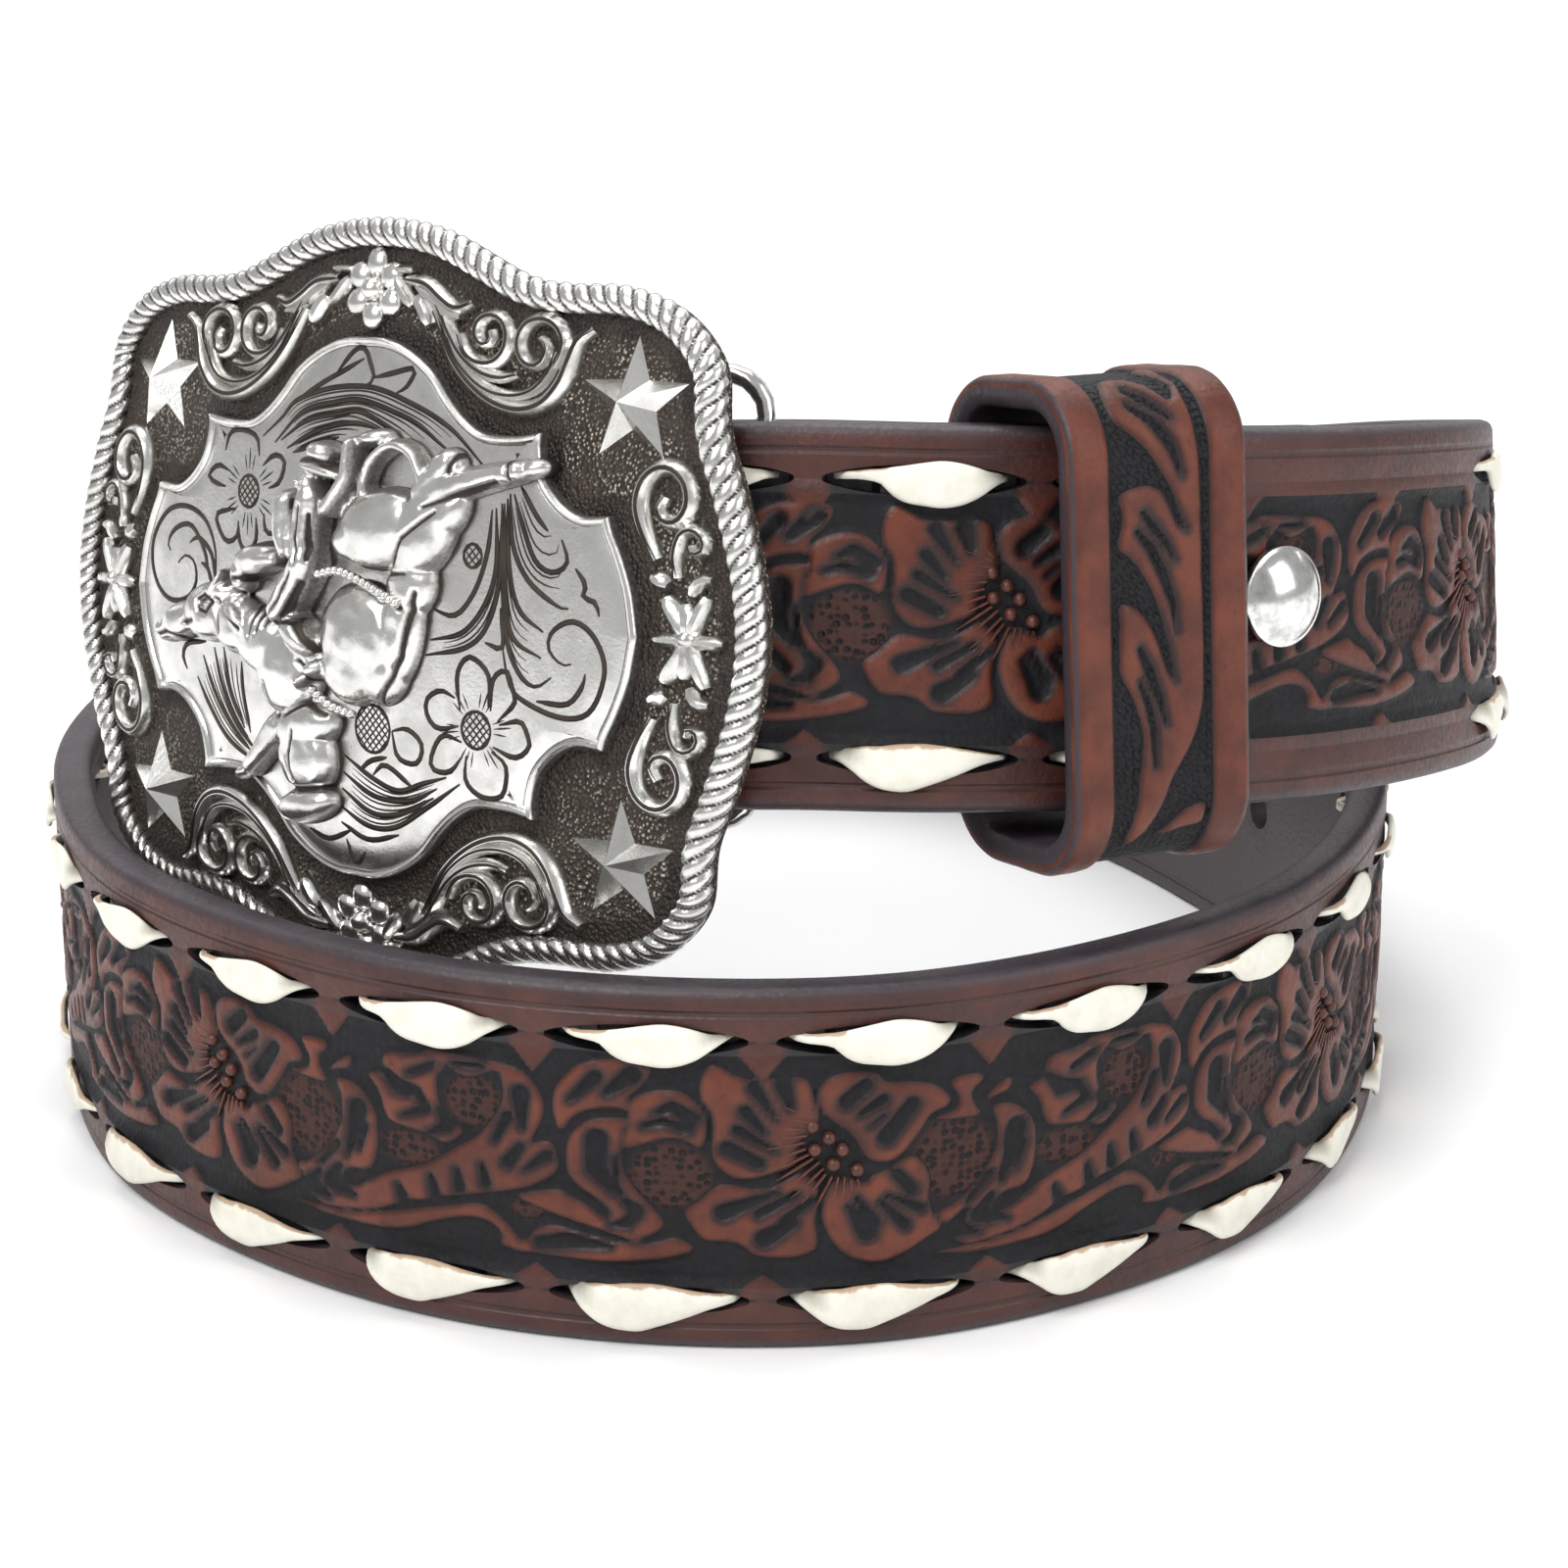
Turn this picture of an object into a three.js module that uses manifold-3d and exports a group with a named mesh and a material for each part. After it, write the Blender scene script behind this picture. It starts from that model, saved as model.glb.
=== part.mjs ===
// A western tooled belt, coiled and standing on its lower edge: a laced leather strap
// with a keeper and a snap, and a cast buckle that hangs on a wire bale in the strap's fold.
// Millimetres, +Z up. The coil turns anticlockwise seen from above and the viewer stands at -Y.
import * as THREE from 'three';
import { mergeVertices } from 'three/addons/utils/BufferGeometryUtils.js';
import Module from 'manifold-3d';

const wasm = await Module();
wasm.setup();

// Clearance between neighbouring pieces.
const fit = 0.3;

// Strap
const strapWidth = 38;
const strapThickness = 4.4;
const strapLength = 862;
const edgeChamfer = 0.9;
const turnedBack = 74;
const tipRounding = 17;
const tipHoleDiameter = 5;
const tipHoleSpacing = 25.4;
const tipHoleCount = 5;
const tipToMiddleHole = 95;

// Coil
const coilReach = 96.5;
const endLift = 13;
const startLean = 9.8;
const landingTurn = 150;

// Lacing
const laceWidth = 4.3;
const laceThickness = 0.8;
const lacePitch = 22.1;
const laceFromEdge = 5.3;
const slotHeight = 2.8;
const laceStitches = 32;
const bareStitches = [3, 4];

// Keeper
const keeperAt = 41.5;
const keeperSkew = 4;
const keeperYaw = 10;
const keeperBow = 2;
const keeperWidth = 20.5;
const keeperWall = 3;
const keeperSideRoom = 2.4;
const keeperSpareRoom = 5.3;
const keeperBackRoom = 1.8;
const keeperCorner = 8;
const keeperBevel = 0.6;

// Snap
const snapAt = 59.8;
const snapRaise = 2.2;
const snapDiameter = 10.4;
const snapRise = 2.6;
const snapPostDiameter = 3;
const snapBackDiameter = 11;
const snapBackRise = 1.8;
const snapBackRoom = 0.8;

// Bale
const baleWire = 2;
const baleRoom = 1;
const baleLength = 25;
const baleSideRoom = 3.3;
const baleCorner = 4;
const baleAngle = 26.2;
const baleSeat = 17.2;
const baleRaise = 3.2;
const baleLift = 1.2;
const lugWall = 1.9;

// Buckle
const buckleHalfWidth = 50.4;
const buckleHalfHeight = 40;
const plateThickness = 2.2;
const ropeDiameter = 3.1;
const ropeSteps = 104;
const cartoucheRise = 1;
const reliefRise = 1.5;
const starRadius = 7;
const starRise = 2.4;
const bowAcross = 0.004;
const bowUp = 0.0032;
const buckleYaw = 40.2;
const bucklePitch = 8.7;
const buckleRoll = 4.8;
const hookDiameter = 4;
const hookLength = 7;
const hookSeat = 27;

// Where the strap's outer face runs in plan: degrees round the coil, share of coilReach.
const coil = [
  { turn: -86.2, reach: 0.824 },
  { turn: -72, reach: 0.859 },
  { turn: -50, reach: 0.913 },
  { turn: -25, reach: 0.938 },
  { turn: 0, reach: 0.957 },
  { turn: 27, reach: 1 },
  { turn: 55, reach: 1.018 },
  { turn: 85, reach: 1.01 },
  { turn: 115, reach: 0.96 },
  { turn: 145, reach: 0.875 },
  { turn: 170, reach: 0.825 },
  { turn: 195, reach: 0.834 },
  { turn: 224, reach: 0.9 },
  { turn: 254, reach: 0.971 },
  { turn: 281, reach: 0.997 },
  { turn: 309, reach: 0.939 },
  { turn: 337, reach: 0.853 },
  { turn: 365, reach: 0.8 },
  { turn: 391, reach: 0.8 },
  { turn: 412, reach: 0.865 },
  { turn: 432, reach: 0.938 },
  { turn: 455, reach: 0.93 },
  { turn: 480, reach: 0.86 },
  { turn: 510, reach: 0.76 },
  { turn: 540, reach: 0.71 },
];

// One quarter of the rim, as shares of the buckle's half width and half height.
const rimQuarter = [
  { across: 0, up: 1 },
  { across: 0.188, up: 0.97 },
  { across: 0.402, up: 0.866 },
  { across: 0.52, up: 0.845 },
  { across: 0.652, up: 0.841 },
  { across: 0.779, up: 0.788 },
  { across: 0.871, up: 0.664 },
  { across: 0.892, up: 0.505 },
  { across: 0.936, up: 0.366 },
  { across: 0.983, up: 0.174 },
  { across: 1, up: 0 },
];

// One quarter of the centre plate's two bulges, in the same shares. Between them lies the
// round notch that keeps clear of the star.
const topBulge = [
  { across: 0, up: 0.712 },
  { across: 0.156, up: 0.688 },
  { across: 0.254, up: 0.615 },
  { across: 0.33, up: 0.53 },
  { across: 0.4, up: 0.492 },
  { across: 0.48, up: 0.485 },
];
const sideBulge = [
  { across: 0.654, up: 0.295 },
  { across: 0.67, up: 0.21 },
  { across: 0.703, up: 0.114 },
  { across: 0.723, up: 0 },
];
const starSeat = { across: 0.676, up: 0.557 };

// Raised scrolls of one quarter: points along each, in the same shares, and its half width in mm.
const scrolls = [
  { half: 1.3, points: [[0.1, 0.83], [0.18, 0.8], [0.245, 0.77], [0.3, 0.81]] },
  {
    half: 1.4,
    points: [[0.13, 0.76], [0.22, 0.69], [0.3, 0.59], [0.41, 0.545], [0.51, 0.58], [0.545, 0.67], [0.58, 0.75]],
  },
  { half: 1.1, points: [[0.43, 0.6], [0.41, 0.7], [0.36, 0.765], [0.31, 0.73], [0.33, 0.68], [0.36, 0.7]] },
  { half: 1.1, points: [[0.49, 0.61], [0.5, 0.7], [0.46, 0.77], [0.42, 0.73], [0.44, 0.68], [0.465, 0.7]] },
  {
    half: 1.2,
    points: [[0.76, 0.14], [0.73, 0.23], [0.735, 0.34], [0.775, 0.405], [0.815, 0.36], [0.8, 0.3], [0.77, 0.33]],
  },
  { half: 1, points: [[0.785, 0.15], [0.8, 0.2], [0.84, 0.245], [0.855, 0.2], [0.83, 0.19]] },
];

// The bucking animal and its rider: round forms of the centre plate, in mm from the middle of
// the buckle, with their half sizes and their turn in degrees.
const figure = [
  { at: [1, -2.5], half: [10.5, 7.2], rise: 4.4, turn: 32 },
  { at: [7.5, 7], half: [6.2, 5.4], rise: 4.4, turn: 40 },
  { at: [-8.5, -6.5], half: [7, 5.2], rise: 4, turn: 15 },
  { at: [-15.5, -5.5], half: [5, 3.4], rise: 3.2, turn: -25 },
  { at: [-21, -4.2], half: [5.2, 3], rise: 3.4, turn: 8 },
  { at: [14.5, 11.5], half: [6.5, 2.8], rise: 3, turn: 33 },
  { at: [20.5, 14.8], half: [4.5, 1.8], rise: 2.4, turn: 18 },
  { at: [-9, -14], half: [3.2, 5.8], rise: 3, turn: 12 },
  { at: [-6.5, -20], half: [3.4, 2.4], rise: 2.6, turn: 0 },
  { at: [-13, -14], half: [2, 4.6], rise: 2.2, turn: -30 },
  { at: [-4.2, 5.4], half: [2.6, 5.4], rise: 4.6, turn: 12 },
  { at: [-5.2, 12], half: [2, 2.3], rise: 4.2, turn: 0 },
  { at: [-4.2, 14], half: [4.2, 1.5], rise: 3.4, turn: 8 },
  { at: [0.4, 14.2], half: [1.5, 4.6], rise: 2.6, turn: -35 },
  { at: [-4.2, -2.2], half: [2.1, 5.2], rise: 6, turn: 18 },
  { at: [-3, -8], half: [2.8, 1.5], rise: 6, turn: -8 },
  { at: [-10.2, 4.4], half: [4.6, 1.3], rise: 3.2, turn: -12 },
];

// Derived values
const halfWidth = strapWidth / 2;
const halfThickness = strapThickness / 2;
const coilRise = strapWidth + endLift;
const foldRadius = (strapThickness + baleWire) / 2 + baleRoom;
const foldArc = (Math.PI * foldRadius) / 2;
const layerStep = strapThickness + laceThickness + 2 * fit;
const laceOffset = halfWidth - laceFromEdge;
const laceRise = halfThickness + fit + laceThickness / 2;
const degree = Math.PI / 180;

function finish(color, roughness, metalness) {
  return new THREE.MeshStandardMaterial({ color, roughness, metalness, flatShading: true });
}

const leather = () => finish(0x5a2c22, 0.5, 0);
const castSilver = () => finish(0xb9b6b0, 0.35, 1);
const brightSteel = () => finish(0xd8d9da, 0.2, 1);
const ivoryLace = () => finish(0xf0eee2, 0.55, 0);

// Solids: closed geometry to manifold and back.
function solidOf(geometry) {
  const bare = geometry.clone();
  bare.deleteAttribute('normal');
  bare.deleteAttribute('uv');
  const merged = mergeVertices(bare, 1e-4);
  return new wasm.Manifold(
    new wasm.Mesh({
      numProp: 3,
      vertProperties: new Float32Array(merged.attributes.position.array),
      triVerts: new Uint32Array(merged.index.array),
    }),
  );
}

function geometryOf(solid) {
  const mesh = solid.getMesh();
  const geometry = new THREE.BufferGeometry();
  geometry.setAttribute('position', new THREE.BufferAttribute(new Float32Array(mesh.vertProperties), 3));
  geometry.setIndex(new THREE.BufferAttribute(new Uint32Array(mesh.triVerts), 1));
  geometry.computeVertexNormals();
  return geometry;
}

// A closed body through rings with equal numbers of points, anticlockwise seen from ahead.
// A centre point in each end lets the rings be wavy.
function loft(rings, closed = false, centred = false) {
  const size = rings[0].length;
  const points = rings.flat();
  const faces = [];
  const last = closed ? rings.length : rings.length - 1;
  for (let i = 0; i < last; i += 1) {
    const here = i * size;
    const next = ((i + 1) % rings.length) * size;
    for (let j = 0; j < size; j += 1) {
      const k = (j + 1) % size;
      faces.push(here + j, here + k, next + k, here + j, next + k, next + j);
    }
  }
  const end = (rings.length - 1) * size;
  if (centred) {
    const { z: backHeight } = rings[0][0];
    const { z: frontHeight } = rings[rings.length - 1][0];
    points.push(new THREE.Vector3(0, 0, backHeight), new THREE.Vector3(0, 0, frontHeight));
    for (let j = 0; j < size; j += 1) {
      const k = (j + 1) % size;
      faces.push(points.length - 2, k, j, points.length - 1, end + j, end + k);
    }
  } else if (!closed) {
    for (let j = 1; j < size - 1; j += 1) {
      faces.push(0, j + 1, j, end, end + j, end + j + 1);
    }
  }
  const geometry = new THREE.BufferGeometry().setFromPoints(points);
  geometry.setIndex(faces);
  return geometry;
}

// The strap's route: the middle of its thickness and width, from the bale to past the tip.
function landing(turn) {
  return Math.min(1, (turn - coil[0].turn) / (landingTurn - coil[0].turn));
}

function sampleRoute() {
  const points = coil.map(({ turn, reach }) => {
    const angle = turn * degree;
    return new THREE.Vector3(Math.cos(angle), Math.sin(angle), 0).multiplyScalar(reach * coilReach);
  });
  const curve = new THREE.CatmullRomCurve3(points, false, 'centripetal');
  const count = 1600;
  const samples = [];
  for (let i = 0; i <= count; i += 1) {
    const place = (i / count) * (coil.length - 1);
    const row = Math.min(Math.floor(place), coil.length - 2);
    const turn = THREE.MathUtils.lerp(coil[row].turn, coil[row + 1].turn, place - row);
    const share = landing(turn);
    const tangent = curve.getTangent(i / count);
    const inward = new THREE.Vector3(-tangent.y, tangent.x, 0).normalize();
    const point = curve.getPoint(i / count).addScaledVector(inward, halfThickness);
    point.z = halfWidth + (coilRise * (1 + Math.cos(Math.PI * share))) / 2;
    const along = i === 0 ? 0 : samples[i - 1].along + point.distanceTo(samples[i - 1].point);
    samples.push({ point, along, lean: startLean * (1 - share) ** 2 });
  }
  return samples;
}

const route = sampleRoute();

function routeAt(along) {
  let low = 0;
  let high = route.length - 1;
  while (high - low > 1) {
    const middle = (low + high) >> 1;
    if (route[middle].along > along) high = middle;
    else low = middle;
  }
  const from = route[low];
  const to = route[high];
  const share = (along - from.along) / (to.along - from.along);
  return {
    point: from.point.clone().lerp(to.point, share),
    lean: THREE.MathUtils.lerp(from.lean, to.lean, share),
  };
}

// Axes of the outer layer: t along, n out of the tooled face, u across towards the upper edge.
function layerFrame(along) {
  const { point, lean } = routeAt(along);
  const t = routeAt(along + 2).point.sub(routeAt(along - 2).point).normalize();
  const level = new THREE.Vector3(t.y, -t.x, 0).normalize();
  const n = level.clone().applyAxisAngle(t, -lean * degree);
  const u = new THREE.Vector3().crossVectors(n, t);
  return { point, t, n, u };
}

// Axes anywhere on the strap: distance 0 is the fold's far side, and below 0 is the turned end.
function strapFrame(distance) {
  if (distance >= foldArc) {
    return layerFrame(distance - foldArc);
  }
  if (distance > -foldArc) {
    const { point, t, n, u } = layerFrame(0);
    const angle = (foldArc - distance) / foldRadius;
    const centre = point.clone().addScaledVector(n, -foldRadius);
    const out = n.clone().multiplyScalar(Math.cos(angle)).addScaledVector(t, -Math.sin(angle));
    const ahead = n.clone().multiplyScalar(Math.sin(angle)).addScaledVector(t, Math.cos(angle));
    return { point: centre.addScaledVector(out, foldRadius), t: ahead, n: out, u };
  }
  const back = -distance - foldArc;
  const { point, t, n, u } = layerFrame(back);
  const easing = THREE.MathUtils.smoothstep(back, 0, tipRounding);
  const step = THREE.MathUtils.lerp(2 * foldRadius, layerStep, easing);
  point.addScaledVector(n, -step);
  return { point, t: t.negate(), n: n.negate(), u };
}

function placed(distance, across, out) {
  const { point, n, u } = strapFrame(distance);
  return point.addScaledVector(u, across).addScaledVector(n, out);
}

// Puts a solid, made with x along, y across and z out, on the strap.
function onStrap(geometry, distance, across = 0, out = 0) {
  const { t, n, u } = strapFrame(distance);
  const matrix = new THREE.Matrix4().makeBasis(t, u, n);
  matrix.setPosition(placed(distance, across, out));
  return geometry.applyMatrix4(matrix);
}

// Stitches: distances of their middles, and the slots at both of their ends.
const stitches = [];
for (let i = 0; i < laceStitches; i += 1) {
  if (!bareStitches.includes(i)) stitches.push(i * lacePitch);
}
const slotInner = 0.19 * lacePitch;
const slotOuter = 0.441 * lacePitch;

function strapRing(distance, width) {
  const wide = width - edgeChamfer;
  const thin = halfThickness - edgeChamfer;
  const corners = [
    [width, thin],
    [wide, halfThickness],
    [-wide, halfThickness],
    [-width, thin],
    [-width, -thin],
    [-wide, -halfThickness],
    [wide, -halfThickness],
    [width, -thin],
  ];
  return corners.map(([across, out]) => placed(distance, across, out));
}

function strapStations() {
  const stations = [];
  const backSteps = 8;
  for (let i = 0; i < backSteps; i += 1) {
    stations.push(THREE.MathUtils.lerp(-turnedBack, -foldArc, i / backSteps));
  }
  const foldSteps = 6;
  for (let i = 0; i <= foldSteps; i += 1) {
    stations.push(THREE.MathUtils.lerp(-foldArc, foldArc, i / foldSteps));
  }
  const step = lacePitch / 2;
  for (let at = step; at < strapLength - tipRounding - step / 2; at += step) {
    stations.push(at);
  }
  return stations;
}

function strapSolid() {
  const rings = strapStations().map((distance) => strapRing(distance, halfWidth));
  const tipShares = [0, 0.4, 0.66, 0.84, 0.95, 0.995];
  for (const share of tipShares) {
    const width = halfWidth * Math.sqrt(1 - share * share);
    rings.push(strapRing(strapLength - tipRounding * (1 - share), width));
  }
  let solid = solidOf(loft(rings));
  const slotLength = slotOuter - slotInner;
  const slotMiddle = (slotOuter + slotInner) / 2;
  for (const middle of stitches) {
    for (const end of [-1, 1]) {
      for (const side of [-1, 1]) {
        const cutter = new THREE.BoxGeometry(slotLength, slotHeight, strapThickness + 1.4);
        const place = middle + end * slotMiddle;
        solid = solid.subtract(solidOf(onStrap(cutter, place, side * laceOffset)));
      }
    }
  }
  const middleHole = strapLength - tipToMiddleHole;
  for (let i = 0; i < tipHoleCount; i += 1) {
    const place = middleHole + (i - (tipHoleCount - 1) / 2) * tipHoleSpacing;
    solid = solid.subtract(solidOf(onStrap(rod(tipHoleDiameter, strapThickness + 2, 8), place)));
  }
  const snapDepth = layerStep + strapThickness + 2;
  const snapHole = rod(snapPostDiameter + 2 * fit, snapDepth, 8);
  return solid.subtract(solidOf(onStrap(snapHole, snapAt, snapRaise, -layerStep / 2)));
}

// A cylinder along z, middle at the origin.
function rod(diameter, length, sides) {
  const geometry = new THREE.CylinderGeometry(diameter / 2, diameter / 2, length, sides);
  return geometry.rotateX(Math.PI / 2);
}

// Lacing: places along the stitch as shares of the pitch, height over the strap's middle as a
// share of laceRise, and half width as a share of the lace's.
const laceForm = [
  { along: -0.416, rise: -1, half: 0.44 },
  { along: -0.226, rise: 1, half: 0.56 },
  { along: 0, rise: 1, half: 1 },
  { along: 0.226, rise: 1, half: 0.56 },
  { along: 0.416, rise: -1, half: 0.44 },
];
// The first stitch bends round the fold, so it has more sections.
const foldLaceForm = [
  laceForm[0],
  laceForm[1],
  { along: -0.17, rise: 1, half: 0.7 },
  { along: -0.113, rise: 1, half: 0.85 },
  { along: -0.057, rise: 1, half: 0.95 },
  laceForm[2],
  { along: 0.057, rise: 1, half: 0.95 },
  { along: 0.113, rise: 1, half: 0.85 },
  { along: 0.17, rise: 1, half: 0.7 },
  laceForm[3],
  laceForm[4],
];

function laceSolid(side) {
  const under = laceForm[0];
  const sections = [{ at: -0.49 * lacePitch, ...under }];
  for (let i = 0; i < laceStitches; i += 1) {
    const middle = i * lacePitch;
    if (bareStitches.includes(i)) {
      for (const share of [-0.39, -0.13, 0.13, 0.39]) sections.push({ at: middle + share * lacePitch, ...under });
    } else {
      const form = i === 0 ? foldLaceForm : laceForm;
      for (const row of form) sections.push({ at: middle + row.along * lacePitch, ...row });
    }
  }
  sections.push({ at: (laceStitches - 0.4) * lacePitch, ...under });
  const across = side * laceOffset;
  const line = sections.map(({ at, rise }) => placed(at, across, rise * laceRise));
  const rings = sections.map(({ at, half }, i) => {
    const from = line[Math.max(0, i - 1)];
    const to = line[Math.min(line.length - 1, i + 1)];
    const middle = line[i];
    const ahead = new THREE.Vector3();
    if (i > 0) ahead.add(middle.clone().sub(from).normalize());
    if (i < line.length - 1) ahead.add(to.clone().sub(middle).normalize());
    const { u } = strapFrame(at);
    const thick = new THREE.Vector3().crossVectors(ahead.normalize(), u).normalize();
    const halfLace = (half * laceWidth) / 2;
    return [
      middle.clone().addScaledVector(u, halfLace).addScaledVector(thick, -laceThickness / 2),
      middle.clone().addScaledVector(thick, laceThickness / 2),
      middle.clone().addScaledVector(u, -halfLace).addScaledVector(thick, -laceThickness / 2),
    ];
  });
  return loft(rings);
}

// A rounded rectangle as a shape or hole outline, whose side at +x may be bowed out.
function roundedOutline(Target, width, height, radius, bow = 0) {
  const x = width / 2;
  const y = height / 2;
  const outline = new Target();
  outline.moveTo(-x + radius, -y);
  outline.lineTo(x - radius, -y);
  outline.absarc(x - radius, -y + radius, radius, -Math.PI / 2, 0);
  outline.quadraticCurveTo(x + 2 * bow, 0, x, y - radius);
  outline.absarc(x - radius, y - radius, radius, 0, Math.PI / 2);
  outline.lineTo(-x + radius, y);
  outline.absarc(-x + radius, y - radius, radius, Math.PI / 2, Math.PI);
  outline.lineTo(-x, -y + radius);
  outline.absarc(-x + radius, -y + radius, radius, Math.PI, 1.5 * Math.PI);
  return outline;
}

// The keeper's band lies in the plane across the strap. Its inside holds both layers of the
// strap, and in front of them the room for the strap's tip.
function keeperGeometry() {
  const deep = layerStep + strapThickness + fit + keeperSpareRoom + keeperBackRoom;
  const high = strapWidth + 2 * keeperSideRoom;
  const wall = 2 * keeperWall;
  const outer = roundedOutline(THREE.Shape, deep + wall, high + wall, keeperCorner, keeperBow);
  outer.holes.push(roundedOutline(THREE.Path, deep, high, keeperCorner - keeperWall, keeperBow));
  const band = new THREE.ExtrudeGeometry(outer, {
    depth: keeperWidth - 2 * keeperBevel,
    bevelThickness: keeperBevel,
    bevelSize: keeperBevel,
    bevelOffset: -keeperBevel,
    bevelSegments: 1,
    curveSegments: 3,
  });
  band.translate(0, 0, keeperBevel - keeperWidth / 2);
  // The outline's x turns out of the strap's face and its depth along the strap.
  band.rotateY(-Math.PI / 2);
  band.rotateX(Math.PI);
  const middle = halfThickness + fit + keeperSpareRoom - deep / 2;
  // It sits askew: its near end stands off the strap, its far end draws in behind.
  band.rotateZ(keeperSkew * degree);
  band.rotateY(keeperYaw * degree);
  const drawnIn = (keeperWidth / 2) * Math.sin(keeperYaw * degree);
  return onStrap(band, keeperAt, 0, middle - drawnIn);
}

// The snap's cap and its post, and the ring that the post is set in behind the strap.
function snapCapGeometry() {
  const radius = snapDiameter / 2;
  const foot = halfThickness + fit;
  const postEnd = -(layerStep + halfThickness + snapBackRoom + snapBackRise);
  const profile = [new THREE.Vector2(0, postEnd)];
  profile.push(new THREE.Vector2(snapPostDiameter / 2, postEnd));
  profile.push(new THREE.Vector2(snapPostDiameter / 2, foot));
  profile.push(new THREE.Vector2(radius, foot));
  const domeSteps = 4;
  for (let i = 1; i <= domeSteps; i += 1) {
    const angle = (i / domeSteps) * (Math.PI / 2);
    const rim = foot + 0.25 * snapRise;
    const height = rim + 0.75 * snapRise * Math.sin(angle);
    profile.push(new THREE.Vector2(i === domeSteps ? 0 : radius * Math.cos(angle), height));
  }
  profile.splice(4, 0, new THREE.Vector2(radius, foot + 0.25 * snapRise));
  const cap = new THREE.LatheGeometry(profile, 12);
  return onStrap(cap.rotateX(Math.PI / 2), snapAt, snapRaise);
}

function snapBackGeometry() {
  const outer = new THREE.Shape().absarc(0, 0, snapBackDiameter / 2, 0, 2 * Math.PI);
  outer.holes.push(new THREE.Path().absarc(0, 0, snapPostDiameter / 2 + fit, 0, 2 * Math.PI));
  const ring = new THREE.ExtrudeGeometry(outer, {
    depth: snapBackRise,
    bevelEnabled: false,
    curveSegments: 6,
  });
  const top = -(layerStep + halfThickness + snapBackRoom);
  return onStrap(ring, snapAt, snapRaise, top - snapBackRise);
}

// The buckle is made flat in the plane of x and y, with its face towards +z, then bowed.
function bowed(geometry) {
  const position = geometry.attributes.position;
  for (let i = 0; i < position.count; i += 1) {
    const x = position.getX(i);
    const y = position.getY(i);
    position.setZ(i, position.getZ(i) - (bowAcross * x * x + bowUp * y * y) / 2);
  }
  geometry.computeVertexNormals();
  return geometry;
}

function onFace({ across, up }) {
  return new THREE.Vector2(across * buckleHalfWidth, up * buckleHalfHeight);
}

// Mirrors a quarter's points, given from the top to the side, into a whole outline.
function wholeOutline(quarter) {
  const right = quarter.concat(quarter.slice(0, -1).reverse().map(({ x, y }) => new THREE.Vector2(x, -y)));
  const left = right.slice(1, -1).reverse().map(({ x, y }) => new THREE.Vector2(-x, y));
  return right.concat(left).reverse();
}

function smoothed(points, steps) {
  const curve = new THREE.SplineCurve(points);
  return curve.getPoints(steps);
}

function rimOutline(count) {
  const points = wholeOutline(rimQuarter.map(onFace)).map(({ x, y }) => new THREE.Vector3(x, y, 0));
  const curve = new THREE.CatmullRomCurve3(points, true, 'centripetal');
  return curve.getSpacedPoints(count).slice(0, count);
}

// The plate and its rope rim in one: rings from the back, round the rope, to the sunk field.
// The rope's lays show as crests that rise and fall by turns, set over by one step outside.
function plateSolid() {
  const radius = ropeDiameter / 2;
  const path = rimOutline(ropeSteps);
  const inset = (distance, height) =>
    path.map((point, i) => {
      const before = path[(i + ropeSteps - 1) % ropeSteps];
      const after = path[(i + 1) % ropeSteps];
      const ahead = after.clone().sub(before).normalize();
      const shift = distance(i % 2);
      return new THREE.Vector3(point.x - ahead.y * shift, point.y + ahead.x * shift, height(i % 2));
    });
  const rings = [
    inset(() => 0.8 * radius, () => -plateThickness),
    inset((even) => 0.25 * radius * even, () => -0.4 * radius),
    inset((even) => radius * (0.85 + 0.3 * even), (even) => radius * (1.2 - 0.3 * even)),
    inset(() => 2 * radius, () => 0),
  ];
  return solidOf(loft(rings, false, true));
}

function cartoucheSolid() {
  const seat = onFace(starSeat);
  const top = smoothed(topBulge.map(onFace), 10);
  const side = smoothed(sideBulge.map(onFace), 6);
  const notchStart = top[top.length - 1];
  const notchEnd = side[0];
  const radius = seat.distanceTo(notchStart);
  const from = Math.atan2(notchStart.y - seat.y, notchStart.x - seat.x) + 2 * Math.PI;
  const to = Math.atan2(notchEnd.y - seat.y, notchEnd.x - seat.x) + 2 * Math.PI;
  const notch = [];
  const notchSteps = 6;
  for (let i = 1; i < notchSteps; i += 1) {
    const angle = THREE.MathUtils.lerp(from, to, i / notchSteps);
    notch.push(new THREE.Vector2(Math.cos(angle), Math.sin(angle)).multiplyScalar(radius).add(seat));
  }
  const outline = new THREE.Shape(wholeOutline([...top, ...notch, ...side]));
  const plate = new THREE.ExtrudeGeometry(outline, { depth: cartoucheRise + 0.5, bevelEnabled: false });
  return solidOf(plate.translate(0, 0, -0.5));
}

// A faceted star: ten rim points on the field and one peak.
function starSolid(x, y) {
  const inner = 0.42 * starRadius;
  const rim = [];
  for (let i = 0; i < 10; i += 1) {
    const angle = Math.PI / 2 + (i * Math.PI) / 5;
    const radius = i % 2 === 0 ? starRadius : inner;
    rim.push(new THREE.Vector3(x + radius * Math.cos(angle), y + radius * Math.sin(angle), -0.5));
  }
  const faces = [];
  for (let i = 0; i < 10; i += 1) {
    const j = (i + 1) % 10;
    faces.push(i, j, 10, j, i, 11);
  }
  const points = [...rim, new THREE.Vector3(x, y, starRise), new THREE.Vector3(x, y, -0.5)];
  const geometry = new THREE.BufferGeometry().setFromPoints(points);
  geometry.setIndex(faces);
  return solidOf(geometry);
}

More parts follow.
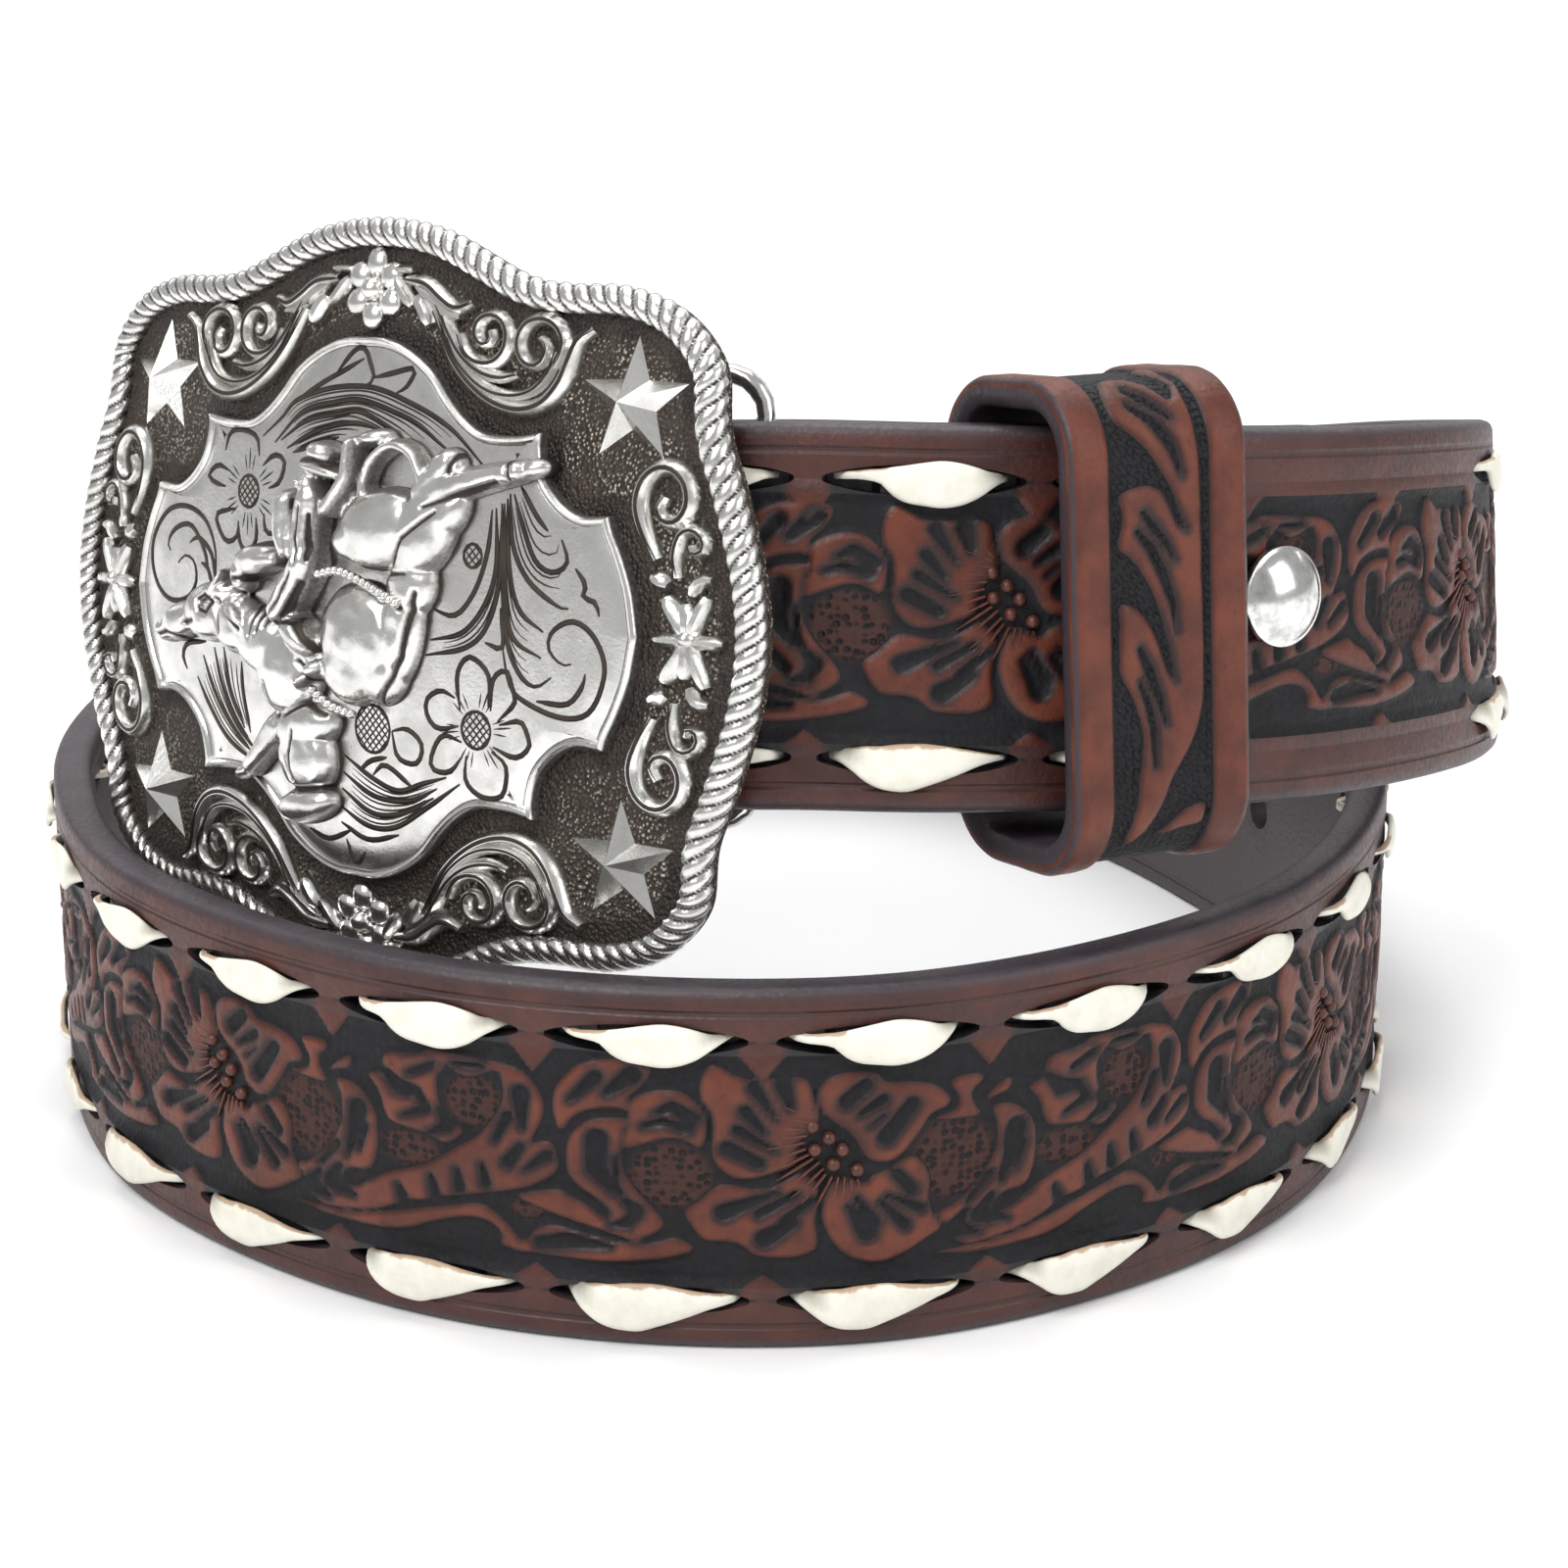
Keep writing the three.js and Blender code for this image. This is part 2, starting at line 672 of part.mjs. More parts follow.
// A scroll is a ridge that swells in its middle and thins to both ends.
function scrollSolid({ points, half }, sideX, sideY) {
  const controls = points.map(([across, up]) => onFace({ across: across * sideX, up: up * sideY }));
  const steps = Math.round(1.25 * (points.length - 1));
  const path = smoothed(controls, steps);
  const rings = path.map((point, i) => {
    const before = path[Math.max(0, i - 1)];
    const after = path[Math.min(steps, i + 1)];
    const ahead = after.clone().sub(before).normalize();
    const swell = half * (0.3 + 0.7 * Math.sin(Math.PI * ((i + 1) / (steps + 2))));
    const x = -ahead.y * swell;
    const y = ahead.x * swell;
    return [
      new THREE.Vector3(point.x - x, point.y - y, -0.4),
      new THREE.Vector3(point.x, point.y, reliefRise * (0.6 + (0.4 * swell) / half)),
      new THREE.Vector3(point.x + x, point.y + y, -0.4),
    ].reverse();
  });
  return solidOf(loft(rings));
}

function flowerSolid(x, y, radius) {
  const points = [];
  const steps = 15;
  for (let i = 0; i < steps; i += 1) {
    const angle = (i / steps) * 2 * Math.PI;
    const reach = radius * (i % 3 === 0 ? 0.62 : 1);
    points.push(new THREE.Vector2(x + reach * Math.cos(angle), y + reach * Math.sin(angle)));
  }
  const bloom = new THREE.ExtrudeGeometry(new THREE.Shape(points), {
    depth: reliefRise + 0.4,
    bevelEnabled: false,
  });
  return solidOf(bloom.translate(0, 0, -0.4));
}

function figureSolids() {
  return figure.map(({ at, half, rise, turn }) => {
    const form = new THREE.SphereGeometry(1, 6, 4);
    form.rotateX(Math.PI / 2);
    form.scale(half[0], half[1], rise);
    form.rotateZ(turn * degree);
    form.translate(at[0], at[1], cartoucheRise);
    // Nothing of the figure reaches through the plate.
    return solidOf(form).trimByPlane([0, 0, 1], -plateThickness / 2);
  });
}

// The lug behind the plate that the bale turns in, and the hook for the strap's holes.
const lugRadius = baleWire / 2 + fit + lugWall;
const lugDepth = plateThickness + lugRadius - 0.3;

function lugSolid() {
  const length = 0.4 * strapWidth;
  const lug = rod(2 * lugRadius, length, 12);
  lug.rotateX(Math.PI / 2);
  return solidOf(lug.translate(baleSeat, baleRaise, -lugDepth));
}

function hookSolid() {
  const depth = plateThickness + hookLength;
  const hook = rod(hookDiameter, depth, 10);
  return solidOf(hook.translate(-hookSeat, 0, -depth / 2));
}

function buckleGeometry() {
  let solid = plateSolid().add(cartoucheSolid());
  const seat = onFace(starSeat);
  for (const sideX of [-1, 1]) {
    for (const sideY of [-1, 1]) {
      solid = solid.add(starSolid(sideX * seat.x, sideY * seat.y));
      for (const scroll of scrolls) solid = solid.add(scrollSolid(scroll, sideX, sideY));
    }
    solid = solid.add(flowerSolid(0, sideX * 0.818 * buckleHalfHeight, 3.7));
    solid = solid.add(flowerSolid(sideX * 0.82 * buckleHalfWidth, 0, 3.4));
  }
  for (const form of figureSolids()) solid = solid.add(form);
  solid = solid.add(lugSolid()).add(hookSolid());
  const bore = rod(baleWire + 2 * fit, strapWidth, 12).rotateX(Math.PI / 2);
  solid = solid.subtract(solidOf(bore.translate(baleSeat, 0, -lugDepth)));
  return bowed(geometryOf(solid));
}

// The bale is a closed wire loop: one long side in the lug, the other in the strap's fold.
function baleGeometry() {
  const high = strapWidth + 2 * baleSideRoom;
  const length = baleLength;
  const outline = roundedOutline(THREE.Path, length, high, baleCorner);
  const points = outline.getPoints(2).slice(0, -1);
  const radius = baleWire / 2;
  const sides = 6;
  const rings = points.map((point, i) => {
    const before = points[(i + points.length - 1) % points.length];
    const after = points[(i + 1) % points.length];
    const into = point.clone().sub(before).normalize();
    const away = after.clone().sub(point).normalize();
    const ahead = into.clone().add(away).normalize();
    const stretch = 1 / ahead.dot(into);
    const ring = [];
    for (let j = 0; j < sides; j += 1) {
      const angle = (j / sides) * 2 * Math.PI;
      const out = radius * Math.cos(angle) * stretch;
      ring.push(
        new THREE.Vector3(point.x - ahead.y * out, point.y + ahead.x * out, radius * Math.sin(angle)),
      );
    }
    return ring;
  });
  const loop = loft(rings, true);
  loop.translate(length / 2, 0, 0);
  loop.rotateY(baleAngle * degree);
  const bow = (bowAcross * baleSeat * baleSeat) / 2;
  return loop.translate(baleSeat, baleRaise, -lugDepth - bow);
}

function mesh(name, geometry, material) {
  const piece = new THREE.Mesh(geometry, material);
  piece.name = name;
  return piece;
}

// The buckle hangs where its bale's long side meets the middle of the strap's fold.
function buckleGroup() {
  const group = new THREE.Group();
  group.add(mesh('buckle', buckleGeometry(), castSilver()));
  group.add(mesh('bale', baleGeometry(), brightSteel()));
  const upright = new THREE.Matrix4().makeRotationX(Math.PI / 2);
  const turned = new THREE.Matrix4().makeRotationFromEuler(
    new THREE.Euler(-bucklePitch * degree, -buckleRoll * degree, -buckleYaw * degree, 'ZXY'),
  );
  const matrix = turned.multiply(upright);
  const bow = (bowAcross * baleSeat * baleSeat) / 2;
  const bar = new THREE.Vector3(
    baleSeat + baleLength * Math.cos(baleAngle * degree),
    baleRaise,
    -lugDepth - bow - baleLength * Math.sin(baleAngle * degree),
  );
  const { point, n, u } = layerFrame(0);
  const seat = point.addScaledVector(n, -foldRadius).addScaledVector(u, baleLift);
  matrix.setPosition(seat.sub(bar.applyMatrix4(matrix)));
  group.applyMatrix4(matrix);
  return group;
}

const belt = new THREE.Group();
belt.add(mesh('strap', geometryOf(strapSolid()), leather()));
belt.add(mesh('lace_upper', laceSolid(1), ivoryLace()));
belt.add(mesh('lace_lower', laceSolid(-1), ivoryLace()));
belt.add(mesh('keeper', keeperGeometry(), leather()));
belt.add(mesh('snap_cap', snapCapGeometry(), brightSteel()));
belt.add(mesh('snap_back', snapBackGeometry(), brightSteel()));
belt.add(buckleGroup());

// The origin is the middle of the whole belt's footprint, on the surface it stands on.
const extent = new THREE.Box3().setFromObject(belt, true);
const middle = extent.getCenter(new THREE.Vector3());
belt.position.set(-middle.x, -middle.y, -extent.min.z);

export default belt;
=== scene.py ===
"""Western tooled belt: coiled leather strap with lacing, keeper, snap and cast buckle."""
import math
import random

import bmesh
import bpy
import numpy as np
from mathutils import Matrix, Vector
from mathutils.noise import noise as noise_at


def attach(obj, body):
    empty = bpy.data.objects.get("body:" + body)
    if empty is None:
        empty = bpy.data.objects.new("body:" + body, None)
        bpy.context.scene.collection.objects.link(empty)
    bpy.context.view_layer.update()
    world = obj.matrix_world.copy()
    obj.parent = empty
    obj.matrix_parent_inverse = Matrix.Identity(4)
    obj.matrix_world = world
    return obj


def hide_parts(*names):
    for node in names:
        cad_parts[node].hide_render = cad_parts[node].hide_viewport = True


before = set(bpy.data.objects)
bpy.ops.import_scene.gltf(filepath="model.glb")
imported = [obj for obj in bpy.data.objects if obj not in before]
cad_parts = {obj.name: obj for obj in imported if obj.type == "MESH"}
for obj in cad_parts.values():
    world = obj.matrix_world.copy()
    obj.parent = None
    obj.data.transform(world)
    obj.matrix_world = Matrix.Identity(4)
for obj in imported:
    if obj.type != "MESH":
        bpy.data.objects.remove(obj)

bl_info = {
    "name": "Western tooled belt",
    "version": (1, 0, 0),
    "blender": (4, 5, 0),
    "location": "View3D > Sidebar > Belt",
    "description": "Builds a coiled, laced and tooled leather belt with a cast buckle",
    "category": "Add Mesh",
}

MM = 0.001

# ---------------------------------------------------------------- the strap's route, in mm

COIL = [
    (-86.2, .824), (-72, .859), (-50, .913), (-25, .938), (0, .957), (27, 1), (55, 1.018), (85, 1.01), (115, .96),
    (145, .875), (170, .825), (195, .834), (224, .9), (254, .971), (281, .997), (309, .939), (337, .853), (365, .8),
    (391, .8), (412, .865), (432, .938), (455, .93), (480, .86), (510, .76), (540, .71),
]
COIL_REACH = 96.5
END_LIFT = 13
START_LEAN = 9.8
LANDING_TURN = 150
BALE_WIRE = 2
BALE_ROOM = 1
FIT = .3
LACE_THICKNESS = .8
STRAP_WIDTH = 38
STRAP_THICKNESS = 4.4
STRAP_LENGTH = 862
TURNED_BACK = 74
TIP_ROUNDING = 17
HALF_WIDTH = STRAP_WIDTH / 2
HALF_THICK = STRAP_THICKNESS / 2
FOLD_RADIUS = (STRAP_THICKNESS + BALE_WIRE) / 2 + BALE_ROOM
FOLD_ARC = math.pi * FOLD_RADIUS / 2
LAYER_STEP = STRAP_THICKNESS + LACE_THICKNESS + 2 * FIT
ROUTE_SHIFT = np.array([-6.9817656, -.7616119, 0])
LACE_PITCH = 22.1
LACE_STITCHES = 32
BARE_STITCHES = (3, 4)
# Points on one half of the strap's section.
SECTION_HALF = 21
SNAP_AT = 59.8
SNAP_UP = 2.2
TIP_TO_MIDDLE_HOLE = 95
HOLE_GAP = 25.4
HOLE_RADIUS = 2.5
SLOT_INNER = .19 * LACE_PITCH
SLOT_OUTER = .441 * LACE_PITCH


def sample_route():
    """Places of the strap's middle, the distances along it and its lean, as the CAD has them."""
    around = [np.array([math.cos(math.radians(t)), math.sin(math.radians(t))]) * r * COIL_REACH for t, r in COIL]
    around = [2 * around[0] - around[1]] + around + [2 * around[-1] - around[-2]]
    places, lean = [], []
    count = 1600
    for i in range(count + 1):
        at = i / count * (len(COIL) - 1)
        row = min(int(at), len(COIL) - 2)
        w = at - row
        turn = COIL[row][0] + (COIL[row + 1][0] - COIL[row][0]) * w
        share = min(1, (turn - COIL[0][0]) / (LANDING_TURN - COIL[0][0]))
        p0, p1, p2, p3 = around[row:row + 4]
        d0, d1, d2 = (math.dist(a, b) ** .5 for a, b in ((p0, p1), (p1, p2), (p2, p3)))
        t1 = ((p1 - p0) / d0 - (p2 - p0) / (d0 + d1) + (p2 - p1) / d1) * d1
        t2 = ((p2 - p1) / d1 - (p3 - p1) / (d1 + d2) + (p3 - p2) / d2) * d1
        c2 = -3 * p1 + 3 * p2 - 2 * t1 - t2
        c3 = 2 * p1 - 2 * p2 + t1 + t2
        point = p1 + t1 * w + c2 * w * w + c3 * w ** 3
        ahead = t1 + 2 * c2 * w + 3 * c3 * w * w
        ahead = ahead / np.linalg.norm(ahead)
        height = HALF_WIDTH + (STRAP_WIDTH + END_LIFT) * (1 + math.cos(math.pi * share)) / 2
        places.append([point[0] - ahead[1] * HALF_THICK, point[1] + ahead[0] * HALF_THICK, height])
        lean.append(START_LEAN * (1 - share) ** 2)
    places = np.array(places) + ROUTE_SHIFT
    along = np.concatenate([[0], np.cumsum(np.linalg.norm(np.diff(places, axis=0), axis=1))])
    return places, along, np.array(lean)


PLACES, ALONG, LEAN = sample_route()


def route_at(along):
    """Point of the route at a distance; past the ends it goes straight on."""
    i = int(min(max(np.searchsorted(ALONG, along, "right") - 1, 0), len(ALONG) - 2))
    share = (along - ALONG[i]) / (ALONG[i + 1] - ALONG[i])
    return PLACES[i] + (PLACES[i + 1] - PLACES[i]) * share, LEAN[i] + (LEAN[i + 1] - LEAN[i]) * share


def layer_axes(along):
    """Point and axes of the outer layer: along, out of the tooled face, across."""
    point, lean = route_at(along)
    t = route_at(along + 2)[0] - route_at(along - 2)[0]
    t /= np.linalg.norm(t)
    level = np.array([t[1], -t[0], 0])
    level /= np.linalg.norm(level)
    lean = math.radians(-lean)
    n = level * math.cos(lean) + np.cross(t, level) * math.sin(lean)
    return point, t, n, np.cross(n, t)


def strap_axes(distance):
    """Point and axes anywhere on the strap; 0 is the fold's far side, below it the turned end."""
    if distance >= FOLD_ARC:
        return layer_axes(distance - FOLD_ARC)
    if distance > -FOLD_ARC:
        point, t, n, u = layer_axes(0)
        turn = (FOLD_ARC - distance) / FOLD_RADIUS
        out = n * math.cos(turn) - t * math.sin(turn)
        return point - n * FOLD_RADIUS + out * FOLD_RADIUS, n * math.sin(turn) + t * math.cos(turn), out, u
    back = -distance - FOLD_ARC
    point, t, n, u = layer_axes(back)
    x = min(1, back / TIP_ROUNDING)
    return point - n * (2 * FOLD_RADIUS + (LAYER_STEP - 2 * FOLD_RADIUS) * x * x * (3 - 2 * x)), -t, -n, u


def axes_rows(distances):
    """The strap's points and axes at many distances, as four arrays."""
    return [np.array(row) for row in zip(*(strap_axes(float(d)) for d in distances))]


# ---------------------------------------------------------------- curves and distances


def points_of(text):
    """Points of a chart, written as x,y or x,y,half width and set apart by spaces."""
    return [tuple(float(v) for v in word.split(",")) for word in text.split()]


def curve(points, steps=4, closed=False):
    """A smooth curve through the points."""
    p = np.array(points, float)
    if closed:
        p = np.vstack([p[-1:], p, p[:2]])
    else:
        p = np.vstack([2 * p[0] - p[1], p, 2 * p[-1] - p[-2]])
    a, b, c, d = (part[:, None, :] for part in (p[:-3], p[1:-2], p[2:-1], p[3:]))
    t = (np.arange(steps) / steps)[None, :, None]
    out = .5 * (2 * b + (c - a) * t + (2 * a - 5 * b + 4 * c - d) * t ** 2 + (3 * b - 3 * c + d - a) * t ** 3)
    out = out.reshape(-1, p.shape[1])
    return out if closed else np.vstack([out, p[-2]])


def evenly(points, gap, closed=False):
    """The same line with its points about one gap apart."""
    p = np.vstack([points, points[:1]]) if closed else np.array(points)
    run = np.concatenate([[0], np.cumsum(np.linalg.norm(np.diff(p[:, :2], axis=0), axis=1))])
    count = max(2, round(run[-1] / gap))
    at = np.linspace(0, run[-1], count + 1)
    rows = np.stack([np.interp(at, run, p[:, k]) for k in range(p.shape[1])], 1)
    return rows[:-1] if closed else rows


def outline_distance(points, x, y):
    """Distance to a closed outline, above 0 inside it."""
    near = np.full(x.shape, 1e6)
    inside = np.zeros(x.shape, bool)
    for (ax, ay), (bx, by) in zip(points, np.roll(points, -1, axis=0)):
        ex, ey = bx - ax, by - ay
        share = np.clip(((x - ax) * ex + (y - ay) * ey) / (ex * ex + ey * ey + 1e-9), 0, 1)
        near = np.minimum(near, (x - ax - ex * share) ** 2 + (y - ay - ey * share) ** 2)
        inside ^= ((ay > y) != (by > y)) & (x < ax + (y - ay) * ex / (ey + 1e-9))
    return np.where(inside, 1, -1) * np.sqrt(near)


def stroke_distance(points, x, y):
    """Distance into a stroke of points and half widths, above 0 inside it."""
    deep = np.full(x.shape, -1e3)
    for (ax, ay, ar), (bx, by, br) in zip(points, points[1:]):
        ex, ey = bx - ax, by - ay
        share = np.clip(((x - ax) * ex + (y - ay) * ey) / (ex * ex + ey * ey + 1e-9), 0, 1)
        far = np.hypot(x - ax - ex * share, y - ay - ey * share)
        deep = np.maximum(deep, ar + (br - ar) * share - far)
    return deep


def raised_and_cut(outlines, strokes, x, y, repeat=0):
    """Depth into raised outlines less the strokes cut in them, and the depth into the strokes."""
    rise = np.full(x.shape, -3.)
    cut = np.full(x.shape, -3.)
    for shift in ((-repeat, 0, repeat) if repeat else (0,)):
        for shapes, depth, result in ((outlines, outline_distance, rise), (strokes, stroke_distance, cut)):
            for shape in shapes:
                shape = np.array(shape)
                low, high = shape.min(0)[:2] - 1.8, shape.max(0)[:2] + 1.8
                near = (x + shift > low[0]) & (x + shift < high[0]) & (y > low[1]) & (y < high[1])
                if near.any():
                    result[near] = np.maximum(result[near], depth(shape, x[near] + shift, y[near]))
    return np.minimum(rise, -cut), cut


def smooth_step(low, high, value):
    share = np.clip((value - low) / (high - low), 0, 1)
    return share * share * (3 - 2 * share)


# ---------------------------------------------------------------- meshes


def swept(bm, rings, loop=False, marks=None):
    """A closed skin through rings of points in mm, on a grid whose sides and ends are merged.

    Rings that aren't a loop are closed by a pole at each end. Marks are values kept on the points.
    """
    rings = np.asarray(rings, float)
    marks = dict(marks or {})
    if not loop:
        rings = np.concatenate([rings[:1] * 0 + rings[0].mean(0), rings, rings[:1] * 0 + rings[-1].mean(0)])
        marks = {name: np.concatenate([value[:1], value, value[-1:]]) for name, value in marks.items()}
    length, size = rings.shape[:2]
    columns = length if loop else length - 1
    layers = []
    for name, value in marks.items():
        kind = bm.verts.layers.float_vector if value.ndim == 3 else bm.verts.layers.float
        layers.append((kind.get(name) or kind.new(name), value))
    made = bmesh.ops.create_grid(bm, x_segments=columns, y_segments=size, size=1)["verts"]
    if len(made) != (columns + 1) * (size + 1):
        raise RuntimeError("the grid has an unexpected number of points")
    for vert in made:
        i = round((vert.co.x + 1) * columns / 2) % length
        j = round((vert.co.y + 1) * size / 2) % size
        vert.co = Vector(rings[i, j]) * MM
        for layer, value in layers:
            vert[layer] = value[i, j] if value.ndim == 2 else Vector(value[i, j])
    bmesh.ops.remove_doubles(bm, verts=made, dist=2e-7)


def piece(bm, name, material, nodes=(), sharp=40):
    """Makes the bmesh a finished object with its faces outward, and gives it to the frame."""
    bmesh.ops.recalc_face_normals(bm, faces=bm.faces)
    mesh = bpy.data.meshes.new(name)
    bm.to_mesh(mesh)
    bm.free()
    mesh.materials.append(material)
    mesh.shade_smooth()
    if sharp:
        mesh.set_sharp_from_angle(angle=math.radians(sharp))
    obj = bpy.data.objects.new(name, mesh)
    bpy.context.collection.objects.link(obj)
    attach(obj, "root")
    if nodes:
        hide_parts(*nodes)
    return obj


def applied(obj):
    """Applies the object's modifiers."""
    graph = bpy.context.evaluated_depsgraph_get()
    mesh = bpy.data.meshes.new_from_object(obj.evaluated_get(graph))
    obj.modifiers.clear()
    old = obj.data
    obj.data = mesh
    bpy.data.meshes.remove(old)
    mesh.name = obj.name


def to_buckle(points, bow=True):
    """Moves points from the buckle's own axes, in mm, to the belt's, with the plate's bow."""
    points = np.array(points, float)
    if bow:
        points[..., 2] -= (.004 * points[..., 0] ** 2 + .0032 * points[..., 1] ** 2) / 2
    return points @ BUCKLE_AXES + BUCKLE_SEAT


BUCKLE_AXES = np.array([
    [.769287, -.633526, .082715],
    [.033377, .169138, .985027],
    [-.638031, -.755008, .151261],
])
BUCKLE_SEAT = np.array([-43.101408, -61.625436, 66.567897])


def ribbon(bm, points, half, foot, rise, sides=8, gap=.7, taper=.25, mark=None):
    """A raised stroke on the buckle's face, which tapers towards its ends."""
    line = evenly(curve(points, 6), gap)
    width = line[:, 2] if line.shape[1] > 2 else np.full(len(line), half)
    share = np.linspace(0, 1, len(line))
    width = width * np.minimum(1, taper + (1 - taper) * np.minimum(share, 1 - share) * 5)
    ahead = np.gradient(line[:, :2], axis=0)
    ahead /= np.linalg.norm(ahead, axis=1)[:, None] + 1e-9
    side = np.stack([-ahead[:, 1], ahead[:, 0]], 1)
    turn = np.linspace(0, 2 * math.pi, sides, endpoint=False)
    rings = np.zeros((len(line), sides, 3))
    rings[..., :2] = line[:, None, :2] + side[:, None] * (width[:, None] * np.cos(turn))[..., None]
    lift = np.minimum(1, width / max(half, 1e-6)) ** .5
    rings[..., 2] = foot + rise * np.sin(turn) * lift[:, None]
    marks = None if mark is None else {"patina_and_shade": np.full(rings.shape[:2], float(mark))}
    swept(bm, to_buckle(rings), marks=marks)


# ---------------------------------------------------------------- materials


def linear(color):
    """An sRGB colour of 0 to 255 as the shader's own values."""
    return tuple(((v / 255 + .055) / 1.055) ** 2.4 if v > 10 else v / 255 / 12.92 for v in color) + (1,)


def new_finish(name):
    material = bpy.data.materials.new(name)
    material.use_nodes = True
    return material, material.node_tree, material.node_tree.nodes["Principled BSDF"]


def add(tree, kind, settings=None, **inputs):
    """A node with its settings and inputs; i0, i1 and so on name inputs by place."""
    node = tree.nodes.new("ShaderNode" + kind)
    for key, value in (settings or {}).items():
        setattr(node, key, value)
    for key, value in inputs.items():
        socket = node.inputs[int(key[1:])] if key[1:].isdigit() else node.inputs[key.replace("_", " ")]
        if isinstance(value, bpy.types.NodeSocket):
            tree.links.new(value, socket)
        else:
            socket.default_value = value
    return node


def sum_of(tree, kind, first, second=0.5):
    return add(tree, "Math", {"operation": kind}, i0=first, i1=second).outputs[0]


def ranged(tree, value, low, high, to_low=0.0, to_high=1.0):
    node = add(tree, "MapRange", {"interpolation_type": "SMOOTHSTEP"}, Value=value)
    for name, number in zip(("From Min", "From Max", "To Min", "To Max"), (low, high, to_low, to_high)):
        node.inputs[name].default_value = number
    return node.outputs[0]


def mixed(tree, share, first, second, blend="MIX"):
    return add(tree, "Mix", {"data_type": "RGBA", "blend_type": blend}, i0=share, i6=first, i7=second).outputs[2]


def noise(tree, vector, scale, detail=4.0, roughness=.6):
    return add(tree, "TexNoise", Vector=vector, Scale=scale, Detail=detail, Roughness=roughness).outputs[0]


def dots(tree, vector, scale, spread=1.0):
    return add(tree, "TexVoronoi", Vector=vector, Scale=scale, Randomness=spread).outputs[0]


def bumped(tree, shader, height, distance, strength=1.0):
    node = add(tree, "Bump", Height=height, Strength=strength, Distance=distance)
    tree.links.new(node.outputs[0], shader.inputs["Normal"])


def tooled_finish(looks, keeper=False):
    """Tooled leather: brown where it is raised, dark stain in the ground, by the depth marks; near the cuts and raised
    edges the brown is darkened by stain and painted shade.
    """
    material, tree, shader = new_finish("keeper_leather" if keeper else "tooled_leather")
    place = add(tree, "TexCoord").outputs["Object"]
    lay = add(tree, "Attribute", {"attribute_name": "lay"}).outputs["Vector"]
    rise = add(tree, "Attribute", {"attribute_name": "rise"}).outputs["Fac"]
    cut = add(tree, "Attribute", {"attribute_name": "cut"}).outputs["Fac"]
    pebble = add(tree, "Attribute", {"attribute_name": "pebble"}).outputs["Fac"]
    grain = noise(tree, place, 1400)
    cloud = noise(tree, place, 160, 3)
    brown = mixed(tree, ranged(tree, cloud, .3, .7), linear(looks.leather_dark), linear(looks.leather_light))
    brown = mixed(tree, ranged(tree, grain, .56, .7, 0, .3), brown, linear((52, 24, 20)))
    ground = dots(tree, lay, 1150, .55)
    stain = mixed(tree, ranged(tree, cloud, .3, .7), linear((9, 8, 12)), linear(looks.stain))
    # The seed patches are stamped with round dark dots in a browner ground.
    if not keeper:
        network = ranged(tree, ground, .3, .5, 0, .85)
        stain = mixed(tree, sum_of(tree, "MULTIPLY", network, pebble), stain, linear((62, 35, 29)))
    frayed = sum_of(tree, "MULTIPLY_ADD", grain, .12)
    frayed.node.inputs[2].default_value = -.06
    edge = sum_of(tree, "ADD", rise, frayed)
    # Darker towards the cuts and round the raised edges: antique stain that gathers there, and painted shade on the
    # bevels and in the cuts.
    shade = ranged(tree, cut, -1, 0, 0, .85)
    brown = mixed(tree, shade, brown, linear((34, 26, 31)))
    near = ranged(tree, edge, 0, .55, .75, 0)
    brown = mixed(tree, near, brown, linear((32, 21, 23)))
    color = mixed(tree, ranged(tree, edge, -.05, .06), stain, brown)
    if keeper:
        side = sum_of(tree, "ABSOLUTE", add(tree, "SeparateXYZ", Vector=lay).outputs[0])
        color = mixed(tree, ranged(tree, side, .0096, .0101), color, linear(looks.edge))
    tree.links.new(color, shader.inputs["Base Color"])
    rough = ranged(tree, edge, -.05, .1, .62, .42)
    tree.links.new(sum_of(tree, "ADD", rough, ranged(tree, grain, .3, .7, -.05, .09)), shader.inputs["Roughness"])
    pits = sum_of(tree, "MULTIPLY", ranged(tree, ground, .2, .6), ranged(tree, edge, -.15, .02, 1, .04))
    pits = sum_of(tree, "MULTIPLY", pits, ranged(tree, pebble, 0, 1, .12, 1))
    height = sum_of(tree, "ADD", sum_of(tree, "MULTIPLY", pits, 2.2), sum_of(tree, "MULTIPLY", grain, .8))
    bumped(tree, shader, height, .00012)
    shader.inputs["Specular IOR Level"].default_value = .32
    return material


